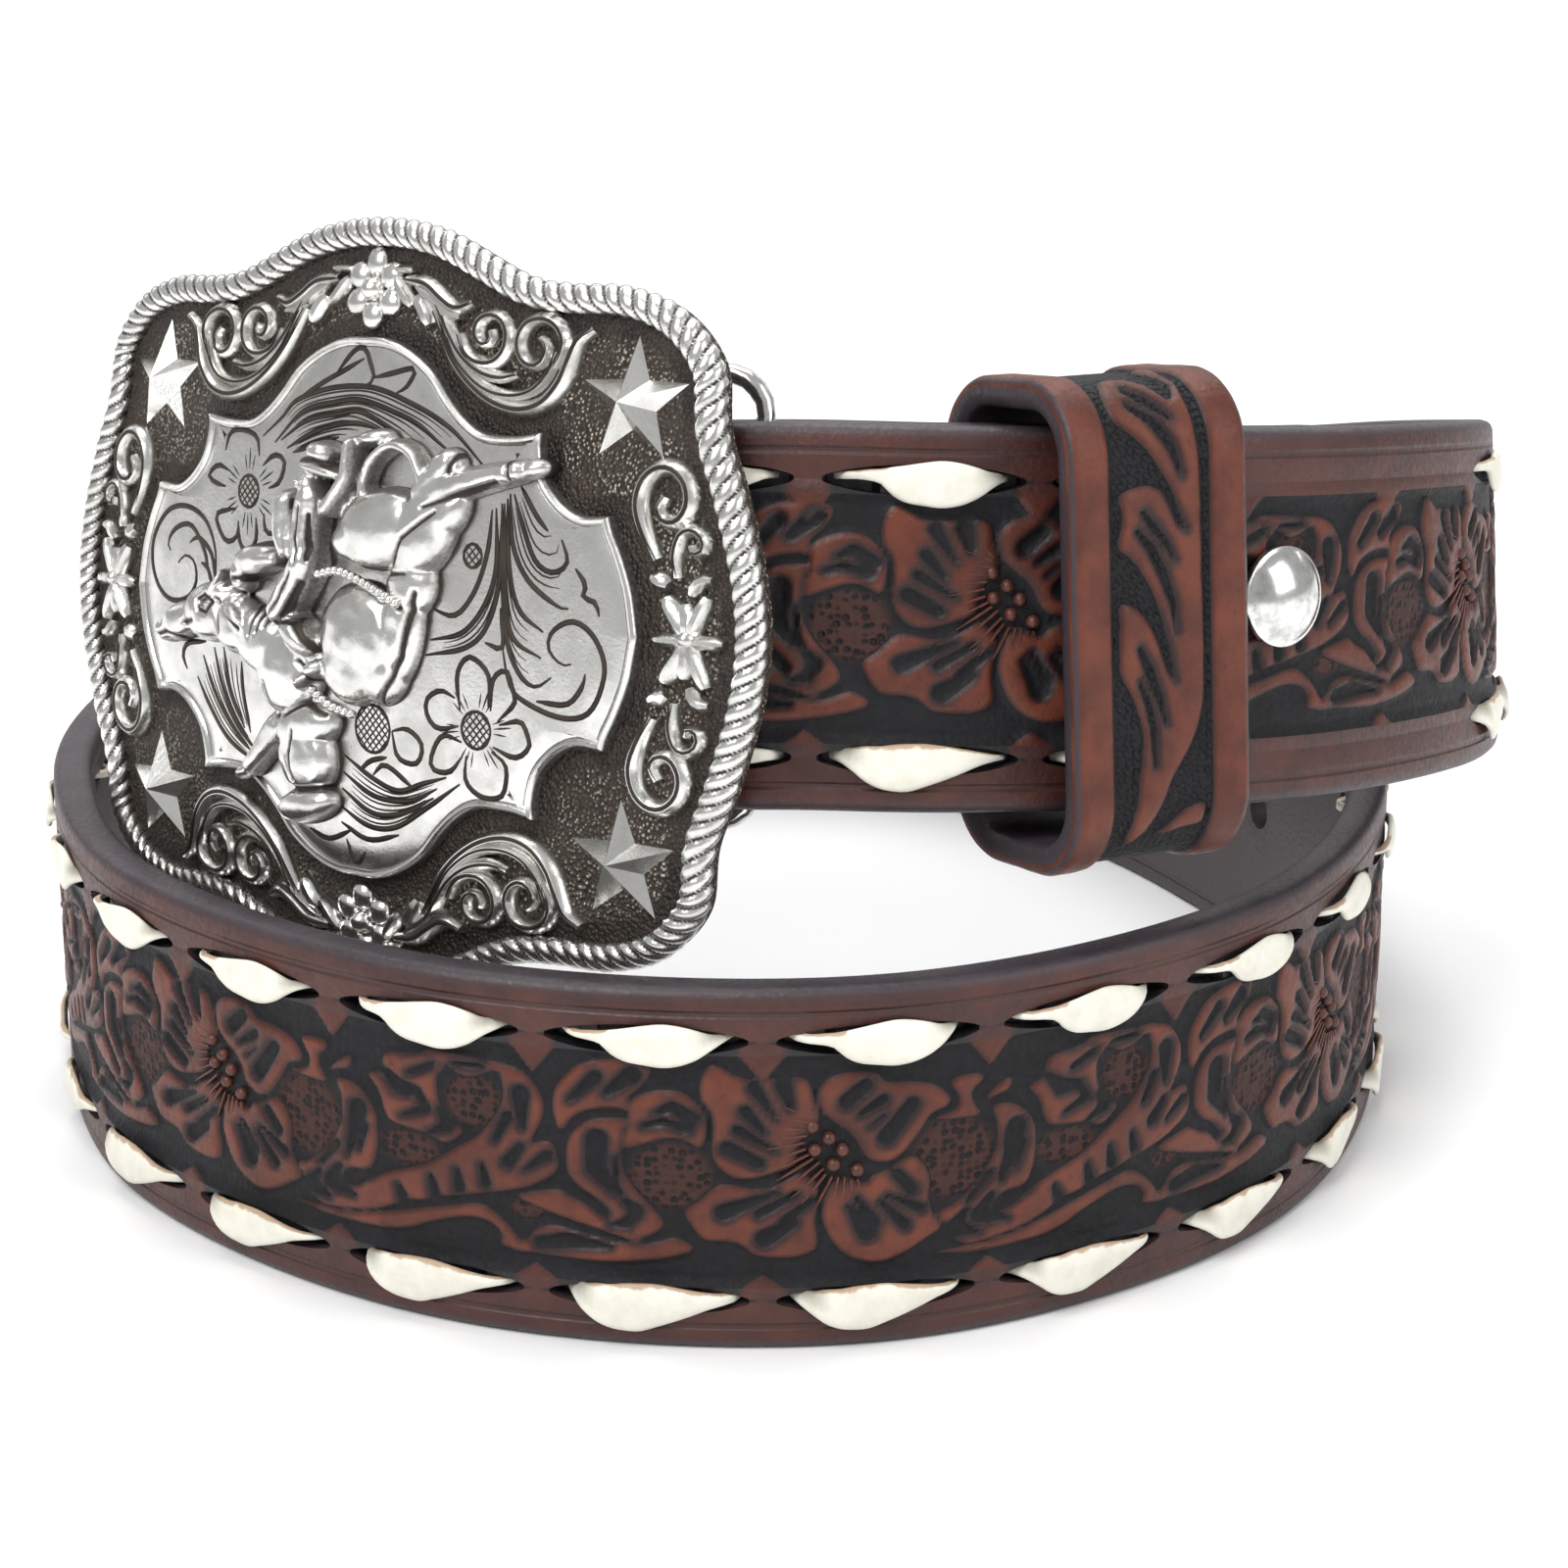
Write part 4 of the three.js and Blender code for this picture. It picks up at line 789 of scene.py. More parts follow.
# Sections of one stitch: along from its middle, the upper and lower edge, height over the
# strap's middle and roll in degrees.
UPPER_STITCH = [
    (-10.4, 14.2, 13.2, -2.7, 0), (-8.9, 14.3, 13.4, -.8, 6), (-7.7, 14.35, 13.6, 1.5, 14), (-6.6, 14.4, 13.7, 2.6, 24),
    (-5.4, 14.6, 13.6, 2.95, 22), (-4.3, 14.7, 13.3, 3.05, 12), (-3.3, 14.9, 12.3, 3.1, 6), (-2, 15.1, 11.6, 3.05, 2),
    (-.3, 15.4, 11.3, 3, 0), (1.5, 15.6, 11.1, 2.95, -3), (3.2, 15.4, 11.4, 2.95, -8), (4.8, 15, 12.1, 2.9, -16),
    (6.1, 14.6, 13, 2.6, -24), (7.2, 14.4, 13.5, 1.7, -12), (8.6, 14.2, 13.4, -.7, 0), (10.2, 14.2, 13.1, -2.6, 0),
]
LOWER_STITCH = [
    (-10.4, -13.1, -14.2, -2.7, 0), (-8.8, -12.8, -14.1, -.9, 0), (-7.6, -12.5, -14.2, 1.3, -18), (-6.4, -12.3, -14.7, 2.8, -24),
    (-5.1, -12.1, -15.8, 3.15, -14), (-3.7, -12.1, -16.5, 3.1, -5), (-2.3, -11.9, -16.8, 3, 0), (-.9, -11.8, -16.8, 3, 2),
    (.6, -11.8, -16.3, 2.95, 3), (2.2, -12, -15.7, 2.95, 5), (3.9, -12.3, -15, 2.95, 9), (5.5, -12.6, -14.3, 2.85, 14),
    (7, -12.9, -13.9, 2.4, 10), (8.2, -13.1, -13.9, 1.2, 4), (9.3, -13.2, -14.1, -1.2, 0), (10.4, -13.1, -14.2, -2.6, 0),
]


def make_lace(name, stitch, looks, seed):
    """One row of lace that comes up through the slots in twisted stitches."""
    chance = random.Random(seed)
    side = 1 if stitch[0][1] > 0 else -1
    rows = [(-.49 * LACE_PITCH, side * 13.7 + .8, side * 13.7 - .8, -2.9, 0)]
    for i in range(LACE_STITCHES):
        middle = i * LACE_PITCH
        if i in BARE_STITCHES:
            rows += [(middle + k, side * 13.7 + .9, side * 13.7 - .9, -2.9, 0) for k in (-9, -5, -1, 3, 7)]
            continue
        push, sway, roll = chance.uniform(-.35, .35), chance.uniform(-.15, .15), chance.uniform(.75, 1.25)
        for at, top, bottom, out, turn in stitch:
            up = 1 if out > 1 else 0
            rows.append((middle + at + push * up, top + sway * up, bottom - sway * up, out, turn * roll))
    rows.append(((LACE_STITCHES - .4) * LACE_PITCH, side * 13.7 + .8, side * 13.7 - .8, -2.9, 0))
    rows = evenly(curve(np.array(rows), 4), .55)
    point, t, n, u = axes_rows(rows[:, 0])
    middle = point + u * ((rows[:, 1] + rows[:, 2]) / 2)[:, None] + n * rows[:, 3][:, None]
    ahead = np.gradient(middle, axis=0)
    ahead /= np.linalg.norm(ahead, axis=1)[:, None]
    flat = np.cross(ahead, u)
    flat /= np.linalg.norm(flat, axis=1)[:, None]
    flat *= np.sign((flat * n).sum(1) + 1e-6)[:, None]
    roll = np.radians(rows[:, 4] * .7)[:, None]
    wide = u * np.cos(roll) + flat * np.sin(roll)
    thick = flat * np.cos(roll) - u * np.sin(roll)
    half = np.abs(rows[:, 1] - rows[:, 2]) / 2
    turn = np.linspace(0, 2 * math.pi, 14, endpoint=False)
    reach = np.sign(np.cos(turn)) * np.abs(np.cos(turn)) ** .6
    lift = np.sign(np.sin(turn)) * np.abs(np.sin(turn)) ** .75
    crown = .2 * (1 - reach ** 2)
    rings = middle[:, None] + wide[:, None] * (half[:, None] * reach)[..., None]
    rings = rings + thick[:, None] * (lift * .4 + crown * np.minimum(half[:, None] / 2, 1) - .12)[..., None]
    edge = np.broadcast_to(reach, rings.shape[:2]).copy()
    off = (np.mod(rows[:, 0] + LACE_PITCH / 2, LACE_PITCH) - LACE_PITCH / 2)[:, None]
    # fold marks painted shade at the end where each stitch turns down into its slot; edge marks the lace's tan raw
    # edges.
    if side > 0:
        edge *= smooth_step(-1, -4, off) * .9 + .1
        fold = smooth_step(4.2, 6.8, off) * smooth_step(-.7, .9, reach)
    else:
        fold = smooth_step(-4.4, -6.6, off) * smooth_step(-.7, .9, reach)
    bm = bmesh.new()
    swept(bm, rings, marks={"edge": edge, "fold": fold * .8})
    return piece(bm, name, lace_finish(looks), (name.replace("lacing", "lace"),), sharp=0)


# ---------------------------------------------------------------- keeper and snap

# Fronds on the keeper's face: x along the strap, y up the face, in mm, before the face's sway.
KEEPER_SWAY = [(-33, -3), (-20, -1.95), (-15, -.25), (-10, .1), (-5, .75), (0, .55), (5, .2), (10, -.65), (15, -2.2),
               (20, -3.85), (25, -4.45), (33, -2.5)]
KEEPER_RAISED = [
    "-8.3,20.3 -8.9,22 -8.9,24 -8,26 -6,26.7 -4.3,26 -3,24.5 -1.8,22.8 -1,23 -.6,25 -1,28 -.6,32 2.5,32 .6,28 .1,25 .6,20 "
    "2.4,15.2 4,10.3 4.9,5.3 5.4,.3 5.6,-4.4 5.3,-7 4.4,-9.6 3.2,-11.8 1.3,-14.2 -.6,-16.6 -2.6,-18.9 -5,-21.5 -6.1,-21.4 "
    "-5.2,-19 -3.8,-16.5 -3.1,-14.5 -2.5,-12 -2.3,-10 -2.6,-8 -3.2,-6 -4.2,-4 -4.5,-2.5 -4.4,-.5 -4.4,1.3 -4.9,2.7 "
    "-3.5,2.6 -2,1.7 -.6,0 .4,-2 1.2,-4 2.2,-5.4 1.8,-4 1.3,-2 .8,0 0,2 -1,4 -2.5,6 -4,7.3 -5.3,8.3 -5.2,10.5 -5.8,12 "
    "-6.5,13 -5.5,13.7 -3.5,14 -1.5,13.3 0,11.8 1.3,10.1 2.5,9.3 1.5,10.6 .5,12.2 -.7,13.8 -2.5,15.6 -4.5,17.5 -6.5,19",
    "3.7,-18 1.8,-18 .3,-18.8 -1,-19.8 -2.6,-21 0,-20.6 3,-20",
]
KEEPER_CUTS = [
    "-6.2,24.4,.35 -4.5,22.8,.6 -2,20.5,.15", "-6.5,22.2,.3 -4,20.2,.5 -1.5,17.5,.35 .5,14.6,.12",
    "-3.2,11.5,.2 -1.5,10,.35 .3,8.3,.3 1.6,6.5,.12", "-3.4,9.7,.2 -1.5,8,.4 .3,5.5,.45 1.7,2.5,.3 2.3,-.5,.12",
    "-2,-1.7,.25 -.8,-4,.5 .1,-6.5,.4 .5,-9.5,.12", "-2,-5,.2 -1.3,-7,.35 -1,-9.5,.35 -1.2,-13.5,.12",
    "-1,13.2,.05 1,11,.3 2.5,9.3,.1", ".2,1.5,.05 1.2,-2,.3 2.2,-5.3,.1",
]
KEEPER_AT = 41.5


def keeper_path():
    """The keeper's outside line in its section: out, up, and the way out of it, from mid front."""
    deep, tall, corner = 11.8, 24.4, 8
    flat = tall - corner
    rows = [(deep, y, 0) for y in np.arange(0, flat, .6)]
    rows += [(deep - corner + corner * math.cos(a), flat + corner * math.sin(a), a) for a in np.linspace(0, math.pi / 2, 22)]
    rows += [(x, tall, math.pi / 2) for x in np.linspace(deep - corner, corner - deep, 8)[1:-1]]
    rows += [(corner - deep - corner * math.sin(a), flat + corner * math.cos(a), math.pi / 2 + a) for a in np.linspace(0, math.pi / 2, 18)]
    rows += [(-deep - 2 * (1 - (y / flat) ** 2), y, math.pi) for y in np.linspace(flat, 0, 16)[1:]]
    rows += [(x, -y, -a) for x, y, a in reversed(rows[1:-1])]
    return np.array(rows)


def make_keeper(looks, sizes):
    path = keeper_path()
    gaps = np.linalg.norm(np.diff(np.vstack([path, path[:1]])[:, :2], axis=0), axis=1)
    run = np.concatenate([[0], np.cumsum(gaps)])[:-1]
    total = gaps.sum()
    run = np.where(run > total / 2, run - total, run)
    half = 10.25
    columns = np.linspace(-half, half, 52)
    up, x = np.meshgrid(run, columns, indexing="ij")
    sway = np.interp(up, *zip(*KEEPER_SWAY))
    outlines = [curve(points_of(text), 3, closed=True) for text in KEEPER_RAISED]
    rise, cut = raised_and_cut(outlines, [points_of(text) for text in KEEPER_CUTS], x + sway, up)
    front = smooth_step(33, 29, np.abs(up))
    rise = np.where(np.abs(up) < 34, rise, -3)
    border = np.abs(x) - 5.75
    groove = np.abs(x) - 5.4
    rise = np.maximum(rise, border)
    rise = np.where(np.abs(groove) < .8, np.minimum(rise, np.abs(groove) - .42), rise)
    rise = rise * front + (1 - front) * np.minimum(border, 1)
    depth = sizes.tooling_depth / MM * 1.15
    height = depth * (smooth_step(-.3, .35, rise) - 1) + .14 * smooth_step(.2, 1.8, rise)
    height -= .55 * smooth_step(half - .9, half, np.abs(x)) ** 2
    out = np.stack([np.cos(path[:, 2]), np.sin(path[:, 2])], 1)
    size = len(columns)
    ring = np.zeros((len(path), size + 8, 3))
    ring[:, :size, 0] = x
    ring[:, :size, 1:] = path[:, None, :2][..., ::-1] + (height[..., None] * out[:, None])[..., ::-1]
    wall = [(half - .02, -1), (half, -1.6), (half - .25, -2.6), (half - .8, -3), (.8 - half, -3), (.25 - half, -2.6), (-half, -1.6), (.02 - half, -1)]
    for k, (a, o) in enumerate(wall):
        ring[:, size + k, 0] = a
        ring[:, size + k, 1:] = (path[:, :2] + o * out)[:, ::-1]
    skew, yaw = math.radians(4), math.radians(10)
    a, across, deep = ring[..., 0], ring[..., 1], ring[..., 2]
    a, across = a * math.cos(skew) - across * math.sin(skew), a * math.sin(skew) + across * math.cos(skew)
    a, deep = a * math.cos(yaw) + deep * math.sin(yaw), deep * math.cos(yaw) - a * math.sin(yaw)
    p, t, n, u = strap_axes(KEEPER_AT)
    rings = p + a[..., None] * t + across[..., None] * u + (deep - 1 - half * math.sin(yaw))[..., None] * n
    pad = lambda grid, value: np.pad(grid, ((0, 0), (0, 8)), constant_values=value)
    marks = {"rise": pad(rise, .6), "cut": pad(cut, -3), "pebble": pad(np.ones(x.shape), 0)}
    marks["lay"] = np.stack([pad(x, half), pad(up, 0), pad(height, 0)], 2) * MM
    bm = bmesh.new()
    swept(bm, rings, loop=True, marks=marks)
    return piece(bm, "keeper_loop", tooled_finish(looks, keeper=True), ("keeper",), sharp=50)


def turned(bm, profile, matrix, steps=48):
    """Spins a profile of radius and height, in mm, about its own axis."""
    verts = [bm.verts.new((r, 0, z)) for r, z in profile]
    edges = [bm.edges.new(pair) for pair in zip(verts, verts[1:])]
    bmesh.ops.spin(bm, geom=verts + edges, axis=(0, 0, 1), cent=(0, 0, 0), steps=steps, angle=2 * math.pi, use_merge=True)
    bmesh.ops.remove_doubles(bm, verts=bm.verts, dist=1e-4)
    bmesh.ops.transform(bm, matrix=matrix, verts=bm.verts)


def strap_matrix(at, across, out):
    p, t, n, u = strap_axes(at)
    place = p + u * across + n * out
    return Matrix([[t[k] * MM, u[k] * MM, n[k] * MM, place[k] * MM] for k in range(3)] + [[0, 0, 0, 1]])


def make_snap():
    steel = steel_finish()
    bm = bmesh.new()
    profile = [(0, 2.6), (1.2, 2.53), (2.3, 2.32), (3.3, 1.95), (4.1, 1.45), (4.65, 1), (4.85, .82), (5.1, .74), (5.2, .5),
               (5.2, .2), (5.05, 0), (4.4, .02), (1.6, .02), (1.5, -.1), (1.5, -12.7), (1.1, -13.1), (0, -13.1)]
    turned(bm, profile, strap_matrix(SNAP_AT, SNAP_UP, 2.5))
    piece(bm, "snap_dome", steel, ("snap_cap",))
    bm = bmesh.new()
    profile = [(1.8, -10.5), (1.95, -10.6), (3.2, -10.6), (3.5, -10.3), (4.1, -10.3), (4.4, -10.6), (5.2, -10.6), (5.5, -10.3),
               (5.5, -9.1), (5.2, -8.8), (1.95, -8.8), (1.8, -8.95), (1.8, -10.5)]
    turned(bm, profile, strap_matrix(SNAP_AT, SNAP_UP, 0))
    piece(bm, "snap_ring", steel, ("snap_back",))


# ---------------------------------------------------------------- buckle
# One quarter of each outline, from the top to the side, in mm from the buckle's middle.

RIM = [(0, 40), (9.48, 38.8), (20.26, 34.64), (26.2, 33.8), (32.86, 33.64), (39.26, 31.52), (43.9, 26.56), (44.96, 20.2),
       (47.17, 14.64), (49.54, 6.96), (50.4, 0)]
PLATE_TOP = "0,27.8 3,27.7 6.3,26.7 9.7,24.7 12.3,22 14.7,20 17.3,18.8 21.3,18.7 24.5,19.2"
PLATE_NOTCH = "24.5,19.2 24.3,17.7 25,15 26.3,13.3 28,12 30,11.3 33,11.5"
PLATE_SIDE = "33,11.5 33.5,10 34.7,7.7 36,4.3 36.8,0"
SCROLLS = [
    (.75, "9.5,30.6 11,28.2 12.6,25.9 15,23.7 18,22 21.3,21.3 24.2,22 26.2,24 27.1,26.2 28,28.3 29.7,29.4"),
    (.6, "9.8,31.2 11.6,28.7 13.6,26.4 16,24.9 18.7,24.3 20.9,24.7"),
    (.5, "10.6,29.6 13,26 16.5,23.4 20,22.6 23,23.2 24.8,25 25.6,27"),
    (.62, "13,28.4 13.9,26.8 15.6,25.8 17.7,25.8 19.1,27 19.3,28.8 18.3,30.1 16.7,30.4 15.4,29.6 15.3,28.2 16.3,27.5 17.2,28 17,28.9"),
    (.62, "25.2,25.5 26.3,27.7 25.6,29.4 23.7,30.2 21.7,29.7 20.8,28.1 21.3,26.4 22.7,25.6 23.9,26.1 24.2,27.5 23.3,28.3"),
    (.7, "5,33.7 8,33.3 10.3,31.9 12.3,31 14.3,31.6"), (.5, "6.5,33 9,31.6 10.8,30.4 12.8,30.2"),
    (.4, "3.2,34.7 5.8,34.7"), (.65, "3.5,33.8 4.8,32.2 6,31"), (.9, "6.6,32 7.8,30.6 8.6,29.2"),
    (.75, "38.6,7.6 37.2,10 36.3,12.7 36.8,15 38.2,16.3 40,16.4 41.6,15.1 42,13.1 41,11.5 39.4,11.4 38.5,12.6 39.2,13.8"),
    (.55, "41,6 40.8,8.3 41.4,10.2 42.7,10.7 43.9,9.9 43.9,8.8 42.8,8.4 42.4,9.2"), (.8, "38.2,6 40,5.2"),
    (.6, "42.6,4.5 43.6,5.9 44.9,6"), (.9, "42.4,.3 39.7,4"), (.7, "42.4,.3 42,3.6"), (.7, "42.4,.3 44.4,4.4"),
]
SIDE_PETALS = [(.8, "42.4,0 38.4,0"), (.8, "42.6,0 46.2,0")]
STAR_SEAT = (34.3, 22.5)
STAR_RADIUS = 6.8
ENGRAVED = [
    "-15,17.1 -12,19.2 -9.9,21 -4.9,22.4 0,22.8 3.4,22.4 6.9,21.4 10.1,20.3 13,18.9 15.1,17.4 17.3,15.6",
    "-13,16.5 -8.8,19.9 -4.1,21 0,21.4 5.1,20.3 8.4,19.2 11.6,17.4 13.4,16.4",
    "-12,16.8 -8,19 -3,19.9 0,20.2 4.4,18.7 7.3,17.2 9.8,16.7", "-11,16 -7,17.8 -3,18.8 0,19 3,18.5", "-10,15.6 -6,16.8 -3,17.5",
    "-4,24 -1.5,26.4 0,26.6 .8,25.4 1.6,23.6 .5,22.9", "1.5,23.7 4,24.2 7.3,24.8 6.4,23 5,22.3", "-10,20.9 -5.9,23 -3.1,24.2 0,25.6",
    "-21.3,15.3 -20.6,17.2 -18.5,17.6 -16,16.9 -15.5,15", "-20.5,13.2 -22.5,13.7 -24.1,12.5 -22.8,11.8 -21,11.5",
    "-19,9.3 -22.4,8.5 -21.8,6.8 -20.5,5.7 -18.8,6.3 -18.6,8", "-18.5,7.5 -18.2,5.6 -16.8,4.9 -15.5,6.2 -15.6,8.5",
    "-14.3,9 -14,7.2 -12.4,7.1 -10.9,8.5 -12.5,10.5", "-13.7,11.7 -12,12.4 -11.3,14.6 -13,15.2 -14.8,14",
    "-22.3,1.5 -22.6,4.9 -24.5,7.8 -28,9 -31.5,8.3 -34,5.5 -34.3,2.5 -33,0 -30.6,-1.3 -27.4,-.8 -25.9,1 -26.3,3.1 -28,3.7 -29.3,2.8",
    "-23.5,1.5 -24.5,4.5 -27,7 -29.9,6.5 -31.3,4.9 -30.8,4", "-27.2,5.1 -25.6,5.8 -23.2,4.2 -22.3,1", "-25,3.1 -23.8,2.6 -22.8,.5",
    "-25.6,-9.2 -23.4,-12.2 -20.2,-15.4 -15.5,-17.5", "-24.5,-6.8 -22.5,-10.5 -20,-13.5 -16,-16.6",
    "-22.5,-5.8 -21,-10 -18.5,-13.7 -15,-16.6", "-20.8,-5.6 -19.7,-10 -17.3,-14", "-17.7,-6.9 -17.5,-10 -16.3,-14.4",
    "-24,-5.3 -27.4,-5.8 -28.3,-7.2 -27.5,-8.6", "22.3,13.8 24.4,11 25.9,9.6", "21.5,13 22.6,10.3 24.4,6.7 26.6,5.6 28.4,6.7 27.6,8.9",
    "21,13 21.6,8 23.7,4.6 27.3,2.4 28.7,2.2", "29.4,6.2 30.7,4.6 30.3,3.5 31.9,3 32.4,1.7", "20.7,12.5 21.2,6 22.6,1.7 25.7,-.3",
    "20.3,12 20.8,4 21.9,-1.1 25.5,-2.9", "20,12 20.9,0 22.6,-4.4 24.8,-5.8 26.8,-4.7",
    "20.6,-2 21.7,-6 24.1,-7.6 28.4,-8.6 31.6,-7.6 33.2,-3.6 31.9,-.4 29.4,1 26.9,-.1 26.4,-1.9 28,-3.3 29.2,-3.2",
    "30.9,-4 30.5,-5.4 28.7,-7.2 25,-7.2", "19.3,11.5 19.6,6 18.4,2.1 15.5,-1.1 11.2,-2.2", "20,10 20.1,4.6 18.7,-.1 15.9,-2.6 10.5,-3.8",
    "18.8,11.3 18.4,7.1 16.9,3.1 14.4,.5 11.2,1", "20.3,1.7 20.7,-2.2 18.4,-1.9", "15.2,-9 14.8,-5.4 16.4,-3.5 18.9,-5.1 18.9,-8.3",
    "19.2,-8.7 19.5,-5.5 21.2,-4.5 21.9,-6.1 22.3,-7.6 20.1,-9.7", "20.3,-10 23,-9.4 23.8,-10.5 24.1,-11.9 22.3,-13.1 19.5,-12.3",
    "19.3,-12.8 21,-13.8 21.2,-15.3 20.5,-17.2 18,-17.5 15.9,-16.1 16,-13.5", "15.4,-12.2 13,-11.7 11.6,-13.3 11.3,-15.2 13.7,-15.4 15.5,-13.6",
    "15,-10.6 12.3,-11.1 10.8,-10 10.7,-8.3 12.6,-7.2 14.5,-7.8", "-1.2,-15.2 3,-17.2 6.6,-18.1 10,-17 13.3,-16", "-1.4,-17 3,-19 8,-19 12,-17.3",
    "-1.7,-18.7 2.6,-20.8 7,-20.4 11.5,-18.3", "-2.4,-20.4 1.9,-22.2 5.9,-22 10.1,-19.7 15.1,-16.5", "-2,-22.3 2,-23.7 6.5,-22.7",
    "-7,-23.5 -4,-24.3 -.5,-23", "-1.3,-24 0,-26.5 1.5,-25", "5.8,-12 8,-11.6 10,-13 9.2,-15 6.6,-14.6 5.8,-12",
    "3,-16.8 4.8,-15.6 8.7,-17.6", "1,-16.6 2.6,-15.4 5,-14.8",
]
# Runs of neighbouring lines that have finer lines cut between them.
FANS = [(0, 4), (18, 22), (24, 26), (28, 30), (33, 34), (43, 46)]
HATCHED = [(-17, 11.2, 1.7), (17.3, -10.8, 1.9), (3, -12, 2.5), (16.5, 6.6, 1.2)]
# Round forms of the cast figures: x, y, half sizes, rise and turn; then rods of x, y, half width.
FORMS = [
    (2.2, -2.6, 6.2, 6, 3.8, 0), (1.2, -5.4, 4.6, 4.6, 3.6, 0), (8, -1.5, 2.9, 6.6, 2.7, -12), (9.2, 3.4, 3.4, 3.6, 3, 0), (5, -6, 4, 3.6, 2.6, 20),
    (5.2, 8.6, 6.6, 4.3, 4.7, 12), (1.6, 7.4, 3.2, 2.2, 4.2, 20), (10.8, 8.6, 5.6, 3.9, 3.9, 55), (13.2, 10.4, 4, 2.6, 3.2, 40),
    (13.6, 15.4, 2.3, 1.9, 3, 10), (24.4, 15.6, 2, 1.1, 2, 10), (-8.4, -7, 5.4, 5, 3.8, 30), (-12.5, -4.4, 5.4, 3.8, 3.4, -20), (-17, -2.9, 4.4, 3.4, 3.2, -10),
    (-22.3, -2, 4.4, 3.3, 3.2, 0), (-21.4, -.8, .7, .6, 4.4, 0), (-20, .4, 3, 1.3, 3, 8), (-27.4, -3.3, 3.4, 2.2, 3, 20), (-29.9, -4.3, 1.7, 1.6, 2.8, 0), (-15.8, -2, 2.7, 1.1, 4.4, -38),
    (-5.8, -12.6, 5, 2.8, 3.6, 14), (-5.8, -15.8, 4.3, 4.4, 3.7, 8), (-6.2, -20.9, 4.8, 2.1, 3.4, 12), (-16.2, -18.4, 2.2, .9, 2, 20),
    (-4.9, 12.4, 1.5, 1.6, 4.6, 0), (-3.4, 15.9, 2.2, 1.3, 4.6, -8), (-3.2, 14.3, 4.4, .95, 4.4, -10), (3.4, 17.7, 2.7, 1, 2.8, 8), (-6, -2.9, 3.5, 1.8, 5.4, -36),
    (-3.1, -6.3, 1.9, 1.1, 5, 25), (-5, -7.7, 1.3, .8, 4.8, 35), (-13.4, 4.3, 3.6, 1.9, 4.4, 12), (-15.6, 2.6, 1.5, 2, 4, 0),
]
RODS = [
    "12,12.4,2 17,14,1.7 23,15.3,1.3", "10.8,12.6,1.6 13.2,15,1.5", "-20,.9,.6 -18.2,2.8,.35", "-10.4,-13.2,2 -14.6,-17.6,1.3",
    "-4.6,11,2 -5.4,7,2.3 -5,4.4,2.1", "-7.9,10.6,1.6 -8.2,8,1.7 -7.6,5.8,1.2", "-9.6,4.6,1.1 -12,4.3,1.2", "-1.8,10.4,1.2 .8,13.4,1.1 1.2,17,.9",
    "-4.8,4.8,2 -6.6,2,2.1 -8.4,-.6,1.9", "3,11.4,.8 2.8,13.2,.75 4,15.6,.75 6.6,17.1,.75 9,16.6,.75 10.8,14.8,.75 11.6,12.6,.7",
]
ROD_RISE = [3, 3, 3.6, 2.8, 5, 5.2, 4.4, 4.4, 5.6, 3]
# Grooves worked into the figures: muscle lines, folds, fringe and straps.
FIGURE_CUTS = [
    "-13.6,.9,.05 -13,-1.4,.15 -13.4,-3.6,.05", "-12.6,1.3,.05 -11.9,-1,.15 -12.2,-3.2,.05", "-11.6,1.2,.05 -10.9,-.8,.15 -11.1,-2.6,.05",
    "1.6,3.4,.15 5,2.7,.2 9,.9,.1", "10.8,2.6,.1 9.9,0,.2 8.9,-4,.15 5.6,-9,.05", "9.6,4.4,.05 6,4.1,.2 3,4.6,.05", "7.6,5,.05 9.6,8,.1 13.6,10.8,.05",
    "-8,-11.6,.1 -5,-10,.15 -2.2,-11,.05", "-11,-8.4,.05 -9.8,-11.8,.1", "-10.2,-19,.1 -6,-19.2,.2 -2.2,-18.6,.1", "-6.4,-13,.05 -7.1,-15.6,.15 -6.6,-18,.05", "-25.4,-3.2,.1 -23.4,-2.8,.05", "-30.6,-5.1,.02 -28.6,-4.4,.06 -26.4,-4.9,.02",
    "-17.4,-1.3,.05 -15,-2.9,.15", "-19.4,-.2,.05 -18.8,-3.6,.1", "-6.8,15,.1 -3.4,15.1,.15 .2,14,.1", "-9.8,2.6,.05 -11,2.6,.2 -16,2.2,.1", "-16.8,5,.05 -14,6,.1 -10.6,6.2,.05",
    "-8.2,-1.8,.1 -5.6,-1.6,.1 -3.2,-4.4,.1", "-5.6,-5.6,.1 -3.6,-7.2,.15", "12,11.2,.05 16.4,12.8,.15 21,14.2,.05", "15.2,16.4,.05 14.6,14.8,.1", "22.6,14.6,.05 22.2,16.4,.1",
    "-6.6,10.8,.05 -6.5,8,.15 -6.3,5.6,.05", "-4.9,10.4,.02 -5.3,7,.08 -4.9,4.8,.02", "-3.8,9.6,.02 -4,7,.08 -3.7,5,.02",
    "-5.6,3.6,.02 -7.2,1,.08 -8.8,-.8,.02", "-4.6,2.6,.02 -6.2,.2,.08 -7.6,-1.4,.02", "-22.5,-.5,.1 -21.4,.1,.1 -20.3,-.7,.1 -21,-1.8,.1 -22.2,-1.6,.1 -22.5,-.5,.1",
]
ROPE_BEADS = ["-3.2,-8.4 -.6,-9.8 2.6,-10.4", "-2.4,3.6 .4,4.1 4,3.2 8.8,1.4"]


def whole(quarter):
    """Mirrors a quarter's outline, given from the top to the side, into the whole one."""
    quarter = [tuple(p) for p in quarter]
    right = quarter + [(x, -y) for x, y in reversed(quarter[:-1])]
    return np.array(right + [(-x, y) for x, y in reversed(right[1:-1])])


